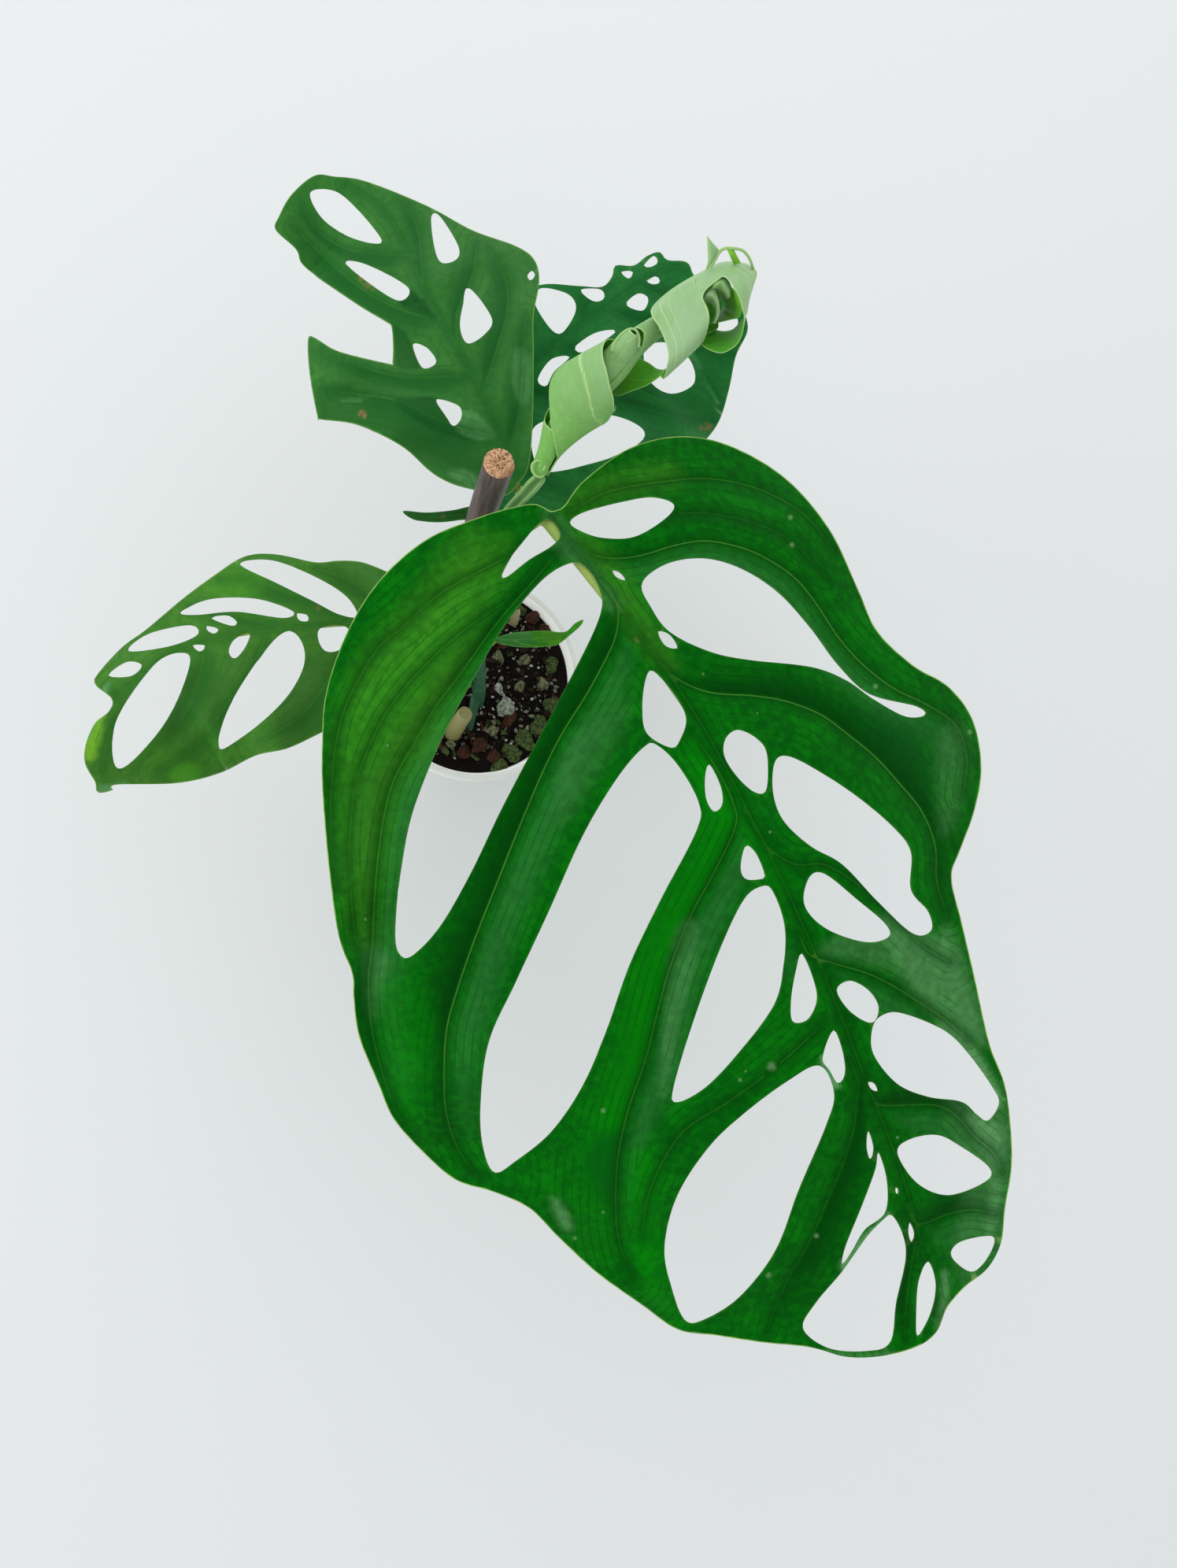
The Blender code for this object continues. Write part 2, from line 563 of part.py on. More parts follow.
def make_stalk(name, blade, drawing, route, foot_radius):
    """A leaf's stalk, which bends under the blade's base and runs on as its rib to the tip."""
    wide, thin, clear = drawing["rib"]
    rib = rib_rings(blade, wide, thin, clear)
    start, after = (sum(ring, Vector()) / 6 for ring in rib[:2])
    side = (rib[0][2] - rib[0][0]).normalized()
    below = (rib[0][4] - rib[0][1]).normalized()
    heading = (after - start).normalized()
    bend = foot_radius * 1.7 * MM
    path = spline(millimetres(route) + [start - heading * bend + below * bend * 0.8], False, 5)
    hand = 1 if heading.cross(side).dot(below) > 0 else -1
    rings = []
    for i in range(len(path) - 1, -1, -1):
        ahead = (path[min(i + 1, len(path) - 1)] - path[max(i - 1, 0)]).normalized()
        side = (side - ahead * side.dot(ahead)).normalized()
        place = i / (len(path) - 1)
        radius = (foot_radius * (1 - place) + wide * 0.6 * place) * MM
        rings.append(rib_section(path[i], side, ahead.cross(side) * hand, radius))
    mesh = loft(rings[::-1] + rib)
    return add_object(name + "_stalk", mesh, bpy.data.materials["stalk"], 60)


def wall_radius(height):
    """Inner radius of the pot at a height."""
    slope = (POT_RIM_RADIUS - 2 * MM - POT_FOOT_RADIUS) / POT_HEIGHT
    return POT_FOOT_RADIUS + slope * height - POT_WALL


def turned(profile, segments):
    """A closed solid turned round the vertical axis from a closed profile of (radius, height)."""
    shape = bmesh.new()
    rings = []
    for radius, height in profile:
        if radius == 0:
            rings.append([shape.verts.new((0, 0, height))])
            continue
        rings.append([shape.verts.new((radius * cos(a), radius * sin(a), height))
                      for a in (2 * pi * k / segments for k in range(segments))])
    for a, b in zip(rings, rings[1:] + rings[:1]):
        if len(a) == 1 and len(b) == 1:
            continue
        for i in range(segments):
            j = (i + 1) % segments
            corners = []
            for v in (a[i % len(a)], a[j % len(a)], b[j % len(b)], b[i % len(b)]):
                if v not in corners:
                    corners.append(v)
            shape.faces.new(corners)
    bmesh.ops.recalc_face_normals(shape, faces=shape.faces)
    mesh = bpy.data.meshes.new("turned")
    shape.to_mesh(mesh)
    shape.free()
    return mesh


def cut(target, centre, low, high, radius, sides=20):
    """Cuts an upright round hole and removes the cutter."""
    shape = bmesh.new()
    bmesh.ops.create_cone(shape, cap_ends=True, segments=sides, radius1=radius, radius2=radius,
                          depth=high - low)
    mesh = bpy.data.meshes.new("cutter")
    shape.to_mesh(mesh)
    shape.free()
    cutter = bpy.data.objects.new("cutter", mesh)
    cutter.location = (centre[0], centre[1], (low + high) / 2)
    cutter.hide_render = True
    cutter.display_type = "WIRE"
    bpy.context.scene.collection.objects.link(cutter)
    hole = target.modifiers.new("hole", "BOOLEAN")
    hole.operation = "DIFFERENCE"
    hole.solver = "EXACT"
    hole.object = cutter
    bpy.context.view_layer.update()
    apply_modifiers(target)
    bpy.data.objects.remove(cutter, do_unlink=True)


def make_pot():
    inner = wall_radius(POT_HEIGHT)
    outer = inner + POT_WALL
    rim_low = POT_HEIGHT - RIM_DEPTH
    profile = [
        (0, 0), (POT_FOOT_RADIUS - 1.5 * MM, 0), (POT_FOOT_RADIUS, 1.5 * MM),
        (wall_radius(rim_low) + POT_WALL, rim_low), (POT_RIM_RADIUS - 1.2 * MM, rim_low),
        (POT_RIM_RADIUS, POT_HEIGHT - 1.5 * MM), (POT_RIM_RADIUS - 1.0 * MM, POT_HEIGHT),
        (outer - 0.8 * MM, POT_HEIGHT), (inner, POT_HEIGHT - 1.2 * MM),
        (wall_radius(2 * MM), 2 * MM), (0, 2 * MM),
    ]
    pot = add_object("pot", turned(profile, 48), material("pot", 0.35), 30)
    for k in range(6):
        turn = 2 * pi * k / 6 + radians(3)
        cut(pot, (20 * MM * cos(turn), 20 * MM * sin(turn)), -1 * MM, 3 * MM, 4 * MM, 12)
    return pot


def make_soil():
    """The potting mix: a plug that fills the pot, with a lumpy top and plain holes for the stems."""
    draw = random.Random(7)
    top_radius = wall_radius(SOIL_HEIGHT) - GAP
    lumps = []
    for _ in range(70):
        turn = draw.uniform(0, 2 * pi)
        out = top_radius * 0.93 * draw.uniform(0, 1) ** 0.5
        lumps.append((out * cos(turn), out * sin(turn), draw.uniform(3, 7) * MM))

    def top(x, y):
        rise = 0.0
        for cx, cy, size in lumps:
            near = 1 - ((x - cx) ** 2 + (y - cy) ** 2) / size ** 2
            if near > 0:
                rise = max(rise, size * 0.45 * near ** 0.5)
        edge = min(1.0, (top_radius - hypot(x, y)) / (4 * MM))
        return SOIL_HEIGHT + rise * max(0.0, edge)

    ring = [Vector((top_radius * cos(a), top_radius * sin(a)))
            for a in (2 * pi * k / 48 for k in range(48))]
    flat, faces = fill([ring], [], 5 * MM)
    shape = bmesh.new()
    upper = [shape.verts.new((p.x, p.y, top(p.x, p.y))) for p in flat]
    for face in faces:
        shape.faces.new([upper[i] for i in face])
    base = 2 * MM + GAP
    base_radius = wall_radius(base) - GAP
    rim = sorted((v for v in upper if hypot(v.co.x, v.co.y) > top_radius - 0.1 * MM),
                 key=lambda v: atan2(v.co.y, v.co.x))
    lower = [shape.verts.new((v.co.x * base_radius / top_radius,
                              v.co.y * base_radius / top_radius, base)) for v in rim]
    for i in range(len(rim)):
        j = (i + 1) % len(rim)
        shape.faces.new((rim[i], rim[j], lower[j], lower[i]))
    shape.faces.new(lower)
    bmesh.ops.recalc_face_normals(shape, faces=shape.faces)
    mesh = bpy.data.meshes.new("soil")
    shape.to_mesh(mesh)
    shape.free()
    soil = add_object("soil", mesh, material("soil", 0.95), 50)
    above = SOIL_HEIGHT + 12 * MM
    cut(soil, STAKE_FOOT, STAKE_FOOT.z - 0.5 * MM, above, STAKE_RADIUS + 0.6 * MM)
    stem = Vector(STEM_ROUTE[0]) * MM
    cut(soil, stem, stem.z - 0.5 * MM, above, STEM_RADIUS + 0.7 * MM, 16)
    for foot in (STUB_ROUTE[0], SHEATH_FOOT):
        place = Vector(foot) * MM
        cut(soil, place, place.z - 0.5 * MM, above, 5.4 * MM, 14)
    return soil


def make_stake():
    shape = bmesh.new()
    depth = STAKE_TOP - STAKE_FOOT.z
    bmesh.ops.create_cone(shape, cap_ends=True, segments=20, radius1=STAKE_RADIUS,
                          radius2=STAKE_RADIUS * 0.97, depth=depth)
    bmesh.ops.translate(shape, verts=shape.verts,
                        vec=(STAKE_FOOT.x, STAKE_FOOT.y, STAKE_FOOT.z + depth / 2))
    mesh = bpy.data.meshes.new("stake")
    shape.to_mesh(mesh)
    shape.free()
    stake = add_object("stake", mesh, material("stake", 0.55), 40)
    edge = stake.modifiers.new("edge", "BEVEL")
    edge.width = 0.5 * MM
    edge.segments = 2
    return stake


def make_stem():
    path = spline(millimetres(STEM_ROUTE), False, steps=5)
    rings = tube_rings(path, (STEM_RADIUS, STEM_RADIUS * 0.85), sides=12)
    return add_object("stem", loft(rings), material("stem", 0.4), 60)


def make_stub():
    """The cut stub of an old stem beside the living one."""
    path = spline(millimetres(STUB_ROUTE), False, steps=4)
    rings = tube_rings(path, (4.2 * MM, 3.9 * MM), sides=10)
    return add_object("stub", loft(rings), material("stub", 0.6), 60)


def make_dry_sheath():
    """A dried leaf sheath that stands in the soil: a thin strip, curved across."""
    rings = []
    for k in range(5):
        place = k / 4
        middle = Vector(SHEATH_FOOT) * MM + Vector((-1.5 * place, 1.2 * place ** 2, 36 * place)) * MM
        half = (2.7 - 1.1 * place) * MM
        front = [middle + Vector((half * part, -1.1 * MM * (1 - part ** 2), 0)) for part in (-1, 0, 1)]
        back = [p + Vector((0, 0.9 * MM, 0)) for p in front[::-1]]
        rings.append(front + back)
    return add_object("dry_sheath", loft(rings), material("dry_sheath", 0.7), 60)


class Roll:
    """A bent axis with a radius along it, and a frame carried along it without twist."""

    def __init__(self, knots):
        places = [(*at_height(x, y, height * MM), radius * MM) for x, y, height, radius in knots]
        self.fine = 8
        self.axis = [Vector(p[:3]) for p in spline(places, False, self.fine)]
        self.radii = [p[3] for p in spline(places, False, self.fine)]
        self.ahead = [(self.axis[min(i + 1, len(self.axis) - 1)] - self.axis[max(i - 1, 0)]).normalized()
                      for i in range(len(self.axis))]
        across = self.ahead[0].cross(Vector((0, 0, 1))).normalized()
        self.across = []
        for ahead in self.ahead:
            across = (across - ahead * across.dot(ahead)).normalized()
            self.across.append(across)

    def point(self, knot, turn, spread):
        """A point on the roll at a place along it, turned from its lower right over the front."""
        span = min(max(knot * self.fine, 0.0), len(self.axis) - 1.001)
        i = int(span)
        part = span - i
        across = self.across[i].lerp(self.across[i + 1], part).normalized()
        upward = across.cross(self.ahead[i].lerp(self.ahead[i + 1], part)).normalized()
        radius = (self.radii[i] * (1 - part) + self.radii[i + 1] * part) * spread
        middle = self.axis[i].lerp(self.axis[i + 1], part)
        return middle + (across * cos(turn) + upward * sin(turn)) * radius


def wind(name, knots, winding, step, parts, finish, tip=0):
    """A thin strip wound on a roll, with a pointed tip that stands out from its upper edge."""
    roll = Roll(knots)
    rows = []
    for turn, low, high, share in resample(spline(winding, False, 6), step, False):
        row = []
        for part in range(parts + 1):
            spread = share
            if part == parts:
                spread += tip * max(0.0, 1 - abs(turn - TIP_TURN) / TIP_REACH)
            row.append(roll.point(low + (high - low) * part / parts, radians(turn), spread))
        rows.append(row)
    shape = bmesh.new()
    made = [[shape.verts.new(p) for p in row] for row in rows]
    for lower, upper in zip(made, made[1:]):
        for i in range(len(lower) - 1):
            shape.faces.new((lower[i], lower[i + 1], upper[i + 1]))
            shape.faces.new((lower[i], upper[i + 1], upper[i]))
    mesh = bpy.data.meshes.new(name)
    shape.to_mesh(mesh)
    shape.free()
    sheet = add_object(name, mesh, finish, 60)
    wall = sheet.modifiers.new("thickness", "SOLIDIFY")
    wall.thickness = ROLLED
    wall.offset = 0
    return sheet


def make_new_leaf():
    """The newest leaf, still rolled: an outer ribbon wound round a slim rolled core."""
    finish = material("new_leaf", 0.4)
    wind("new_leaf", ROLL, WINDING, 20, 6, finish, TIP_RISE)
    wind("new_leaf_core", CORE, CORE_WINDING, 24, 5, finish)
    path = spline(millimetres(NEW_STALK_ROUTE), False, steps=5)
    rings = tube_rings(path, (2.9 * MM, 2.2 * MM), sides=8)
    add_object("new_leaf_stalk", loft(rings), bpy.data.materials["stalk"], 60)


def make_leaves():
    material("stalk", 0.45)
    feet = {"front_leaf": 2.9, "back_left_leaf": 2.3, "back_right_leaf": 2.2, "left_leaf": 2.2,
            "young_leaf": 1.3, "strap_leaf": 1.1}
    plans = {
        "front_leaf": (FRONT_LEAF, 18, 36),
        "back_left_leaf": (BACK_LEFT_LEAF, 18, 34),
        "back_right_leaf": (BACK_RIGHT_LEAF, 18, 34),
        "left_leaf": (LEFT_LEAF, 18, 34),
        "young_leaf": (YOUNG_LEAF, 10, 12),
        "strap_leaf": (STRAP_LEAF, 10, 12),
    }
    for name, (drawing, step, spacing) in plans.items():
        blade, _ = make_leaf(name, drawing, step, spacing)
        make_stalk(name, blade, drawing, STALK_ROUTES[name], feet[name])


def main():
    clear_scene()
    make_pot()
    make_soil()
    make_stake()
    make_stem()
    make_stub()
    make_dry_sheath()
    make_leaves()
    make_new_leaf()


main()
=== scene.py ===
"""The looks of a potted climbing monstera: pierced leaves, a rolled new leaf, a stake and soil."""

import random
from math import ceil, cos, pi, radians, sin

import bmesh
import bpy
import numpy as np
from mathutils import Matrix, Vector
from mathutils.geometry import delaunay_2d_cdt
from mathutils.kdtree import KDTree


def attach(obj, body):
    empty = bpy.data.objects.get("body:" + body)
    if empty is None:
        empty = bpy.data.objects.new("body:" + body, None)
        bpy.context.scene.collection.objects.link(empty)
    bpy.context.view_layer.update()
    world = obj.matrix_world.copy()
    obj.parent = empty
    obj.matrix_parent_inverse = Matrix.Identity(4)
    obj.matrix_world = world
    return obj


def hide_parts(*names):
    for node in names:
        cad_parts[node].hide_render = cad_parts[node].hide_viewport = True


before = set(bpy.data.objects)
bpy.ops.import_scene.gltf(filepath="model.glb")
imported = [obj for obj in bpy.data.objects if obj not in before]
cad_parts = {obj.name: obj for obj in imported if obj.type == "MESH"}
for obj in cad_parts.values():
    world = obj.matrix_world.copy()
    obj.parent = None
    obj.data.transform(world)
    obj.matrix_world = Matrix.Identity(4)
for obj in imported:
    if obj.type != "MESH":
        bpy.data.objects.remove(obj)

bl_info = {
    "name": "Potted monstera",
    "version": (1, 0, 0),
    "blender": (4, 5, 0),
    "location": "View3D > Sidebar > Monstera",
    "description": "Makes the leaves, stalks, stake, soil and pot of a young climbing monstera",
    "category": "Object",
}

MM = 0.001

# The pot, the soil and the stake.
POT_HEIGHT = 90 * MM
POT_RIM_RADIUS = 52.5 * MM
POT_FOOT_RADIUS = 36 * MM
RIM_DEPTH = 11 * MM
POT_FLOOR = 2 * MM
POT_SEGMENTS = 144
DRAIN_COUNT = 6
DRAIN_RADIUS = 4 * MM
DRAIN_PLACE = 20 * MM
SOIL_HEIGHT = 82 * MM
SOIL_AREA = 0.0069  # of the patch that the grains lie on, in square metres
SOIL_WALL = 1.6 * MM  # the pot's wall that the solid of the soil was made to fit
STAKE_RADIUS = 5.5 * MM
STAKE_TOP = 291 * MM
STAKE_FOOT = Vector((-14 * MM, 31 * MM, 45 * MM))
STAKE_SIDES = 64
STEM_RADIUS = 3.4 * MM
STEM_SIDES = 24
ROOT_SIDES = 16
STALK_SIDES = 14
SHEATH_ROWS = 20
SHEATH_PARTS = 9

# The solids' own clearance and thickness, which give a stalk's depth under its blade.
GAP = 0.3 * MM
BLADE = 0.8 * MM

# The leaves are drawn as they look from the photograph's viewpoint, on a board squared in quarter
# millimetres. Each point goes back along its line of sight to the height at which the leaf grows.
EYE = np.array((-64, -119, 667)) * MM
EYE_TURN = Matrix.Rotation(radians(6.42), 3, "X") @ Matrix.Rotation(radians(-11.63), 3, "Y")
BOARD_DISTANCE = 374.25 * MM
SQUARE = 0.25 * MM
BOARD_CENTRE = (747.5, 996.0)
LEAF_SQUARE_MM = 0.257  # what a square covers at the leaves
LENS_MM = 27.05
SENSOR_MM = 36
FAR = 99  # squares, more than any distance that matters

# Each leaf, in squares of the board: the outline from the base round the tip, the holes and the
# midrib from base to tip. The heights are millimetres at even steps along the midrib. The halves
# are each side's half width and how far it falls there, and the waves are a count and a swing. The
# rib has its width, its least width and its clearance, and the keel is how much of the midrib it
# follows. Each vein has the depth of its fold and how pale its line, as shares, then a letter for
# each bank's painted tint: d for painted shade, b for painted light, s for painted sheen. Each
# patch has its tint, its strength and how soft its edge is. The pale edge, the lines and the gloss
# are how much of each shows, and the net is the width of the blade's triangles.
COMMON = {
    "holes": [], "spots": [], "waves": (4, 2.5), "rib": (1.9, 0.7, 0.9), "keel": 0.95,
    "gloss": 0.07, "net": 6.0,
}
FRONT_LEAF = {
    "outline": [
        (699, 649), (688, 643), (675, 640), (640, 647), (600, 660), (545, 683), (498, 720), (462, 764),
        (432, 823), (413, 885), (409, 940), (409, 1000), (417, 1100), (430, 1190), (447, 1237),
        (449, 1270), (456, 1318), (480, 1377), (500, 1422), (540, 1467), (580, 1500), (625, 1514),
        (672, 1535), (710, 1573), (760, 1619), (815, 1658), (860, 1689), (910, 1697), (970, 1706),
        (1030, 1712), (1075, 1724), (1120, 1723), (1165, 1711), (1190, 1692), (1203, 1662),
        (1225, 1636), (1255, 1611), (1272, 1578), (1277, 1535), (1286, 1470), (1278, 1385),
        (1257, 1325), (1238, 1240), (1222, 1172), (1209, 1115), (1220, 1080), (1238, 1030),
        (1247, 975), (1236, 915), (1205, 872), (1160, 845), (1115, 802), (1090, 748), (1055, 674),
        (1000, 609), (930, 567), (865, 554), (800, 569), (742, 610), (717, 642), (706, 648),
    ],
    "holes": [
        [(685, 665), (700, 661), (712, 679), (700, 694), (672, 711), (645, 732), (637, 732),
         (644, 715), (662, 691)],
        [(728, 714), (748, 724), (762, 748), (764, 775), (745, 822), (700, 908), (640, 1022),
         (600, 1105), (560, 1175), (525, 1213), (508, 1214), (501, 1185), (509, 1105), (524, 1030),
         (560, 940), (605, 855), (645, 788), (690, 735)],
        [(830, 852), (858, 883), (872, 912), (865, 938), (853, 950), (822, 932), (816, 900),
         (820, 864)],
        [(834, 946), (862, 973), (888, 1020), (885, 1055), (840, 1142), (800, 1225), (770, 1310),
         (740, 1380), (700, 1438), (655, 1475), (628, 1490), (614, 1462), (610, 1410), (620, 1325),
         (655, 1248), (697, 1158), (740, 1062), (785, 987), (818, 949)],
        [(902, 971), (916, 998), (918, 1022), (907, 1031), (897, 1014), (896, 985)],
        [(950, 1074), (962, 1086), (972, 1112), (966, 1117), (948, 1117), (941, 1105), (944, 1082)],
        [(968, 1126), (982, 1132), (997, 1175), (996, 1225), (983, 1278), (935, 1342), (895, 1383),
         (860, 1401), (855, 1384), (880, 1300), (915, 1205), (945, 1143)],
        [(1019, 1211), (1034, 1245), (1038, 1272), (1026, 1296), (1007, 1298), (1005, 1270),
         (1011, 1234)],
        [(1059, 1309), (1071, 1336), (1074, 1364), (1065, 1377), (1054, 1360), (1045, 1344)],
        [(1041, 1354), (1060, 1389), (1050, 1430), (1015, 1512), (985, 1590), (940, 1648),
         (895, 1677), (870, 1678), (853, 1636), (844, 1585), (860, 1520), (900, 1458), (945, 1415),
         (1000, 1374)],
        [(1103, 1437), (1110, 1458), (1106, 1474), (1101, 1458)],
        [(1116, 1464), (1127, 1500), (1125, 1541), (1099, 1563), (1082, 1591), (1070, 1607),
         (1074, 1584), (1095, 1532), (1112, 1486)],
        [(1133, 1544), (1147, 1568), (1151, 1600), (1139, 1655), (1131, 1706), (1100, 1717),
         (1052, 1713), (1020, 1688), (1036, 1656), (1068, 1618), (1088, 1590), (1104, 1568),
         (1122, 1550)],
        [(1156, 1553), (1162, 1568), (1158, 1579), (1154, 1566)],
        [(1179, 1603), (1189, 1630), (1184, 1665), (1166, 1698), (1164, 1668), (1167, 1628)],
        [(724, 663), (742, 650), (790, 637), (830, 631), (857, 641), (842, 661), (805, 682),
         (765, 683), (737, 674)],
        [(778, 724), (788, 727), (795, 737), (783, 733)],
        [(836, 802), (851, 806), (861, 823), (845, 820)],
        [(815, 745), (827, 727), (858, 712), (900, 709), (945, 723), (990, 753), (1030, 797),
         (1065, 844), (1105, 881), (1165, 897), (1176, 908), (1150, 910), (1108, 887), (1075, 864),
         (1030, 847), (950, 838), (900, 827), (850, 802), (825, 768)],
        [(922, 938), (938, 927), (962, 938), (975, 958), (974, 1003), (958, 1006), (935, 985),
         (920, 960)],
        [(985, 967), (1004, 961), (1045, 982), (1090, 1012), (1135, 1050), (1158, 1082),
         (1158, 1130), (1180, 1158), (1184, 1182), (1160, 1186), (1115, 1145), (1070, 1098),
         (1030, 1075), (995, 1042), (982, 1005)],
        [(1028, 1115), (1048, 1110), (1090, 1143), (1125, 1173), (1130, 1190), (1100, 1197),
         (1050, 1180), (1022, 1150)],
        [(1063, 1258), (1080, 1246), (1104, 1258), (1117, 1280), (1108, 1300), (1080, 1285)],
        [(1119, 1291), (1145, 1287), (1200, 1309), (1232, 1340), (1262, 1382), (1270, 1402),
         (1256, 1424), (1241, 1416), (1222, 1400), (1180, 1394), (1140, 1377), (1110, 1340),
         (1108, 1308)],
        [(1103, 1375), (1111, 1377), (1115, 1387), (1107, 1384)],
        [(1140, 1465), (1155, 1448), (1190, 1442), (1220, 1456), (1258, 1484), (1252, 1502),
         (1205, 1519), (1165, 1503)],
        [(1208, 1592), (1222, 1577), (1262, 1571), (1258, 1594), (1238, 1616), (1218, 1607)],
        [(806, 810), (809, 810), (812, 816), (808, 815)],
        [(1138, 1509), (1141, 1511), (1141, 1517), (1138, 1515)],
    ],
    "midrib": [(700, 657), (790, 775), (880, 902), (945, 1020), (1000, 1132), (1052, 1250),
               (1100, 1372), (1140, 1475), (1168, 1570), (1190, 1670)],
    "heights": [287, 293, 296, 294, 288, 277, 262, 246],
    "halves": [(415, 34), (290, 40)],
    "waves": (6, 2.5),
    "rib": (5.2, 0.8, 0.85),
    "keel": 0.9,
    "veins": [
        (1, 0.35, "ds", [(716, 691), (681, 734), (630, 793), (584, 857), (553, 898), (528, 941),
                         (502, 987), (489, 1030), (480, 1090), (475, 1150), (473, 1200), (468, 1245),
                         (471, 1300), (482, 1350), (500, 1405), (520, 1440)]),
        (1, 1, "ds", [(764, 737), (777, 752), (785, 778), (782, 808), (768, 840), (745, 882),
                      (706, 946), (668, 1030), (632, 1120), (603, 1193), (580, 1260), (567, 1310),
                      (564, 1370), (567, 1415), (582, 1460), (608, 1495)]),
        (1, 0.45, "bs", [(880, 930), (915, 985), (934, 1028), (935, 1046), (925, 1072), (906, 1110),
                         (877, 1164), (852, 1225), (836, 1282), (820, 1346), (798, 1410),
                         (785, 1470), (782, 1531), (787, 1580), (805, 1625)]),
        (0.9, 0.1, " d", [(1078, 1345), (1090, 1375), (1088, 1399), (1085, 1431), (1072, 1476),
                          (1053, 1521), (1028, 1578), (1002, 1623), (986, 1658), (975, 1690)]),
        (0.5, 0.1, "ds", [(1150, 1530), (1164, 1565), (1157, 1610), (1151, 1660), (1149, 1700)]),
        (0.25, 0.25, "  ", [(1045, 1300), (1020, 1325), (980, 1360), (925, 1400), (874, 1432),
                            (845, 1470), (823, 1520), (815, 1570)]),
        (0.9, 0.8, "s ", [(735, 693), (760, 707), (792, 709), (824, 703), (856, 693), (894, 687),
                          (932, 693), (967, 706), (1006, 731), (1034, 763), (1066, 811), (1098, 846),
                          (1136, 875), (1175, 894), (1213, 920), (1228, 960), (1224, 1010)]),
        (1, 0.9, " d", [(845, 845), (856, 859), (881, 873), (910, 881), (958, 884), (999, 891),
                        (1041, 907), (1072, 929), (1111, 961), (1143, 996), (1171, 1031),
                        (1188, 1075), (1190, 1120), (1204, 1165)]),
        (0.9, 0.5, "s ", [(1014, 1185), (1027, 1212), (1056, 1223), (1100, 1236), (1130, 1250),
                          (1161, 1269), (1200, 1295), (1228, 1320)]),
        (0.7, 0.3, "sd", [(1102, 1385), (1118, 1403), (1150, 1404), (1187, 1404), (1212, 1415),
                          (1238, 1444), (1262, 1465), (1274, 1490)]),
        (0.6, 0.2, "sd", [(1150, 1535), (1167, 1555), (1203, 1543), (1235, 1537), (1264, 1542)]),
        (0.35, 0.2, "  ", [(700, 668), (655, 701), (612, 724), (558, 755), (512, 796), (484, 819),
                           (456, 862), (432, 918), (421, 997), (421, 1070), (428, 1130)]),
        (0.3, 0.1, "  ", [(640, 765), (590, 800), (545, 840), (505, 885), (477, 930), (452, 997),
                          (444, 1070), (446, 1140), (452, 1200)]),
        (0.3, 0.3, "  ", [(722, 652), (755, 632), (790, 620), (850, 611), (900, 608), (960, 620),
                          (1020, 652), (1060, 700)]),
        (0.25, 0.1, "  ", [(820, 660), (860, 653), (900, 652), (960, 665), (1010, 692),
                           (1050, 735)]),
        (0.3, 0.2, "  ", [(945, 1030), (975, 1075), (1010, 1098), (1045, 1098), (1085, 1120),
                          (1130, 1160), (1170, 1200), (1205, 1222)]),
    ],
    "spots": [(492, 947, 3), (464, 1168, 3), (978, 1057, 3), (893, 856, 2.5), (1004, 657, 5),
              (1006, 692, 5), (766, 1411, 5), (730, 1573, 4), (766, 1540, 3), (980, 1355, 9),
              (962, 906, 2), (940, 1372, 4), (1037, 1570, 5), (976, 1620, 6), (1140, 1445, 3),
              (947, 1361, 2.5), (1232, 930, 5), (1112, 872, 5)],
    "patches": [
        ("pale", 0.3, 24, [(1205, 1400), (1290, 1420), (1280, 1560), (1235, 1640), (1215, 1590),
                           (1225, 1500)]),
        ("pale", 0.12, 20, [(720, 950), (740, 930), (800, 890), (780, 950), (730, 1030), (705, 1040)]),
        ("sun", 0.35, 40, [(425, 1020), (430, 910), (465, 830), (530, 755), (600, 700), (645, 690),
                           (620, 760), (585, 860), (550, 950), (505, 1010), (475, 1190), (440, 1170)]),
        ("sun", 0.34, 24, [(715, 640), (760, 605), (850, 590), (860, 615), (800, 630), (740, 660),
                           (790, 720), (835, 800), (860, 850), (830, 840), (790, 790), (745, 710)]),
        ("dark", 0.35, 16, [(985, 1390), (1020, 1400), (1040, 1440), (1010, 1520), (970, 1600), (930, 1660),
                            (950, 1590), (990, 1500)]),
        ("pale", 0.3, 12, [(860, 1180), (885, 1170), (880, 1230), (862, 1300), (850, 1370), (842, 1390),
                           (840, 1320), (848, 1240)]),
        ("sun", 0.42, 50, [(600, 680), (640, 720), (600, 790), (550, 850), (490, 930), (460, 1000),
                          (445, 980), (470, 880), (520, 790), (560, 720)]),
        ("dark", 0.4, 18, [(520, 930), (500, 960), (480, 1010), (470, 1080), (462, 1110), (450, 1080),
                           (455, 1020), (480, 960)]),
        ("vivid", 0.35, 30, [(490, 1250), (530, 1240), (550, 1290), (545, 1350), (530, 1400),
                           (520, 1430), (500, 1400), (488, 1330), (480, 1270)]),
        ("pale", 0.3, 16, [(468, 1200), (492, 1218), (485, 1250), (478, 1290), (470, 1290), (464, 1240)]),
        ("dark", 0.5, 20, [(770, 1440), (795, 1450), (780, 1530), (755, 1500), (750, 1460)]),
        ("pale", 0.6, 10, [(700, 1520), (715, 1532), (727, 1555), (720, 1564), (706, 1545)]),
        ("vivid", 0.6, 36, [(800, 1470), (840, 1480), (835, 1560), (845, 1640), (860, 1680),
                            (840, 1660), (810, 1620), (795, 1560), (792, 1500)]),
        ("vivid", 0.6, 24, [(880, 930), (905, 960), (950, 1040), (1005, 1120), (985, 1125), (940, 1060),
                            (905, 1040), (880, 980)]),
        ("pale", 0.2, 18, [(1195, 930), (1225, 920), (1232, 970), (1215, 1040), (1195, 1060),
                          (1190, 1000)]),
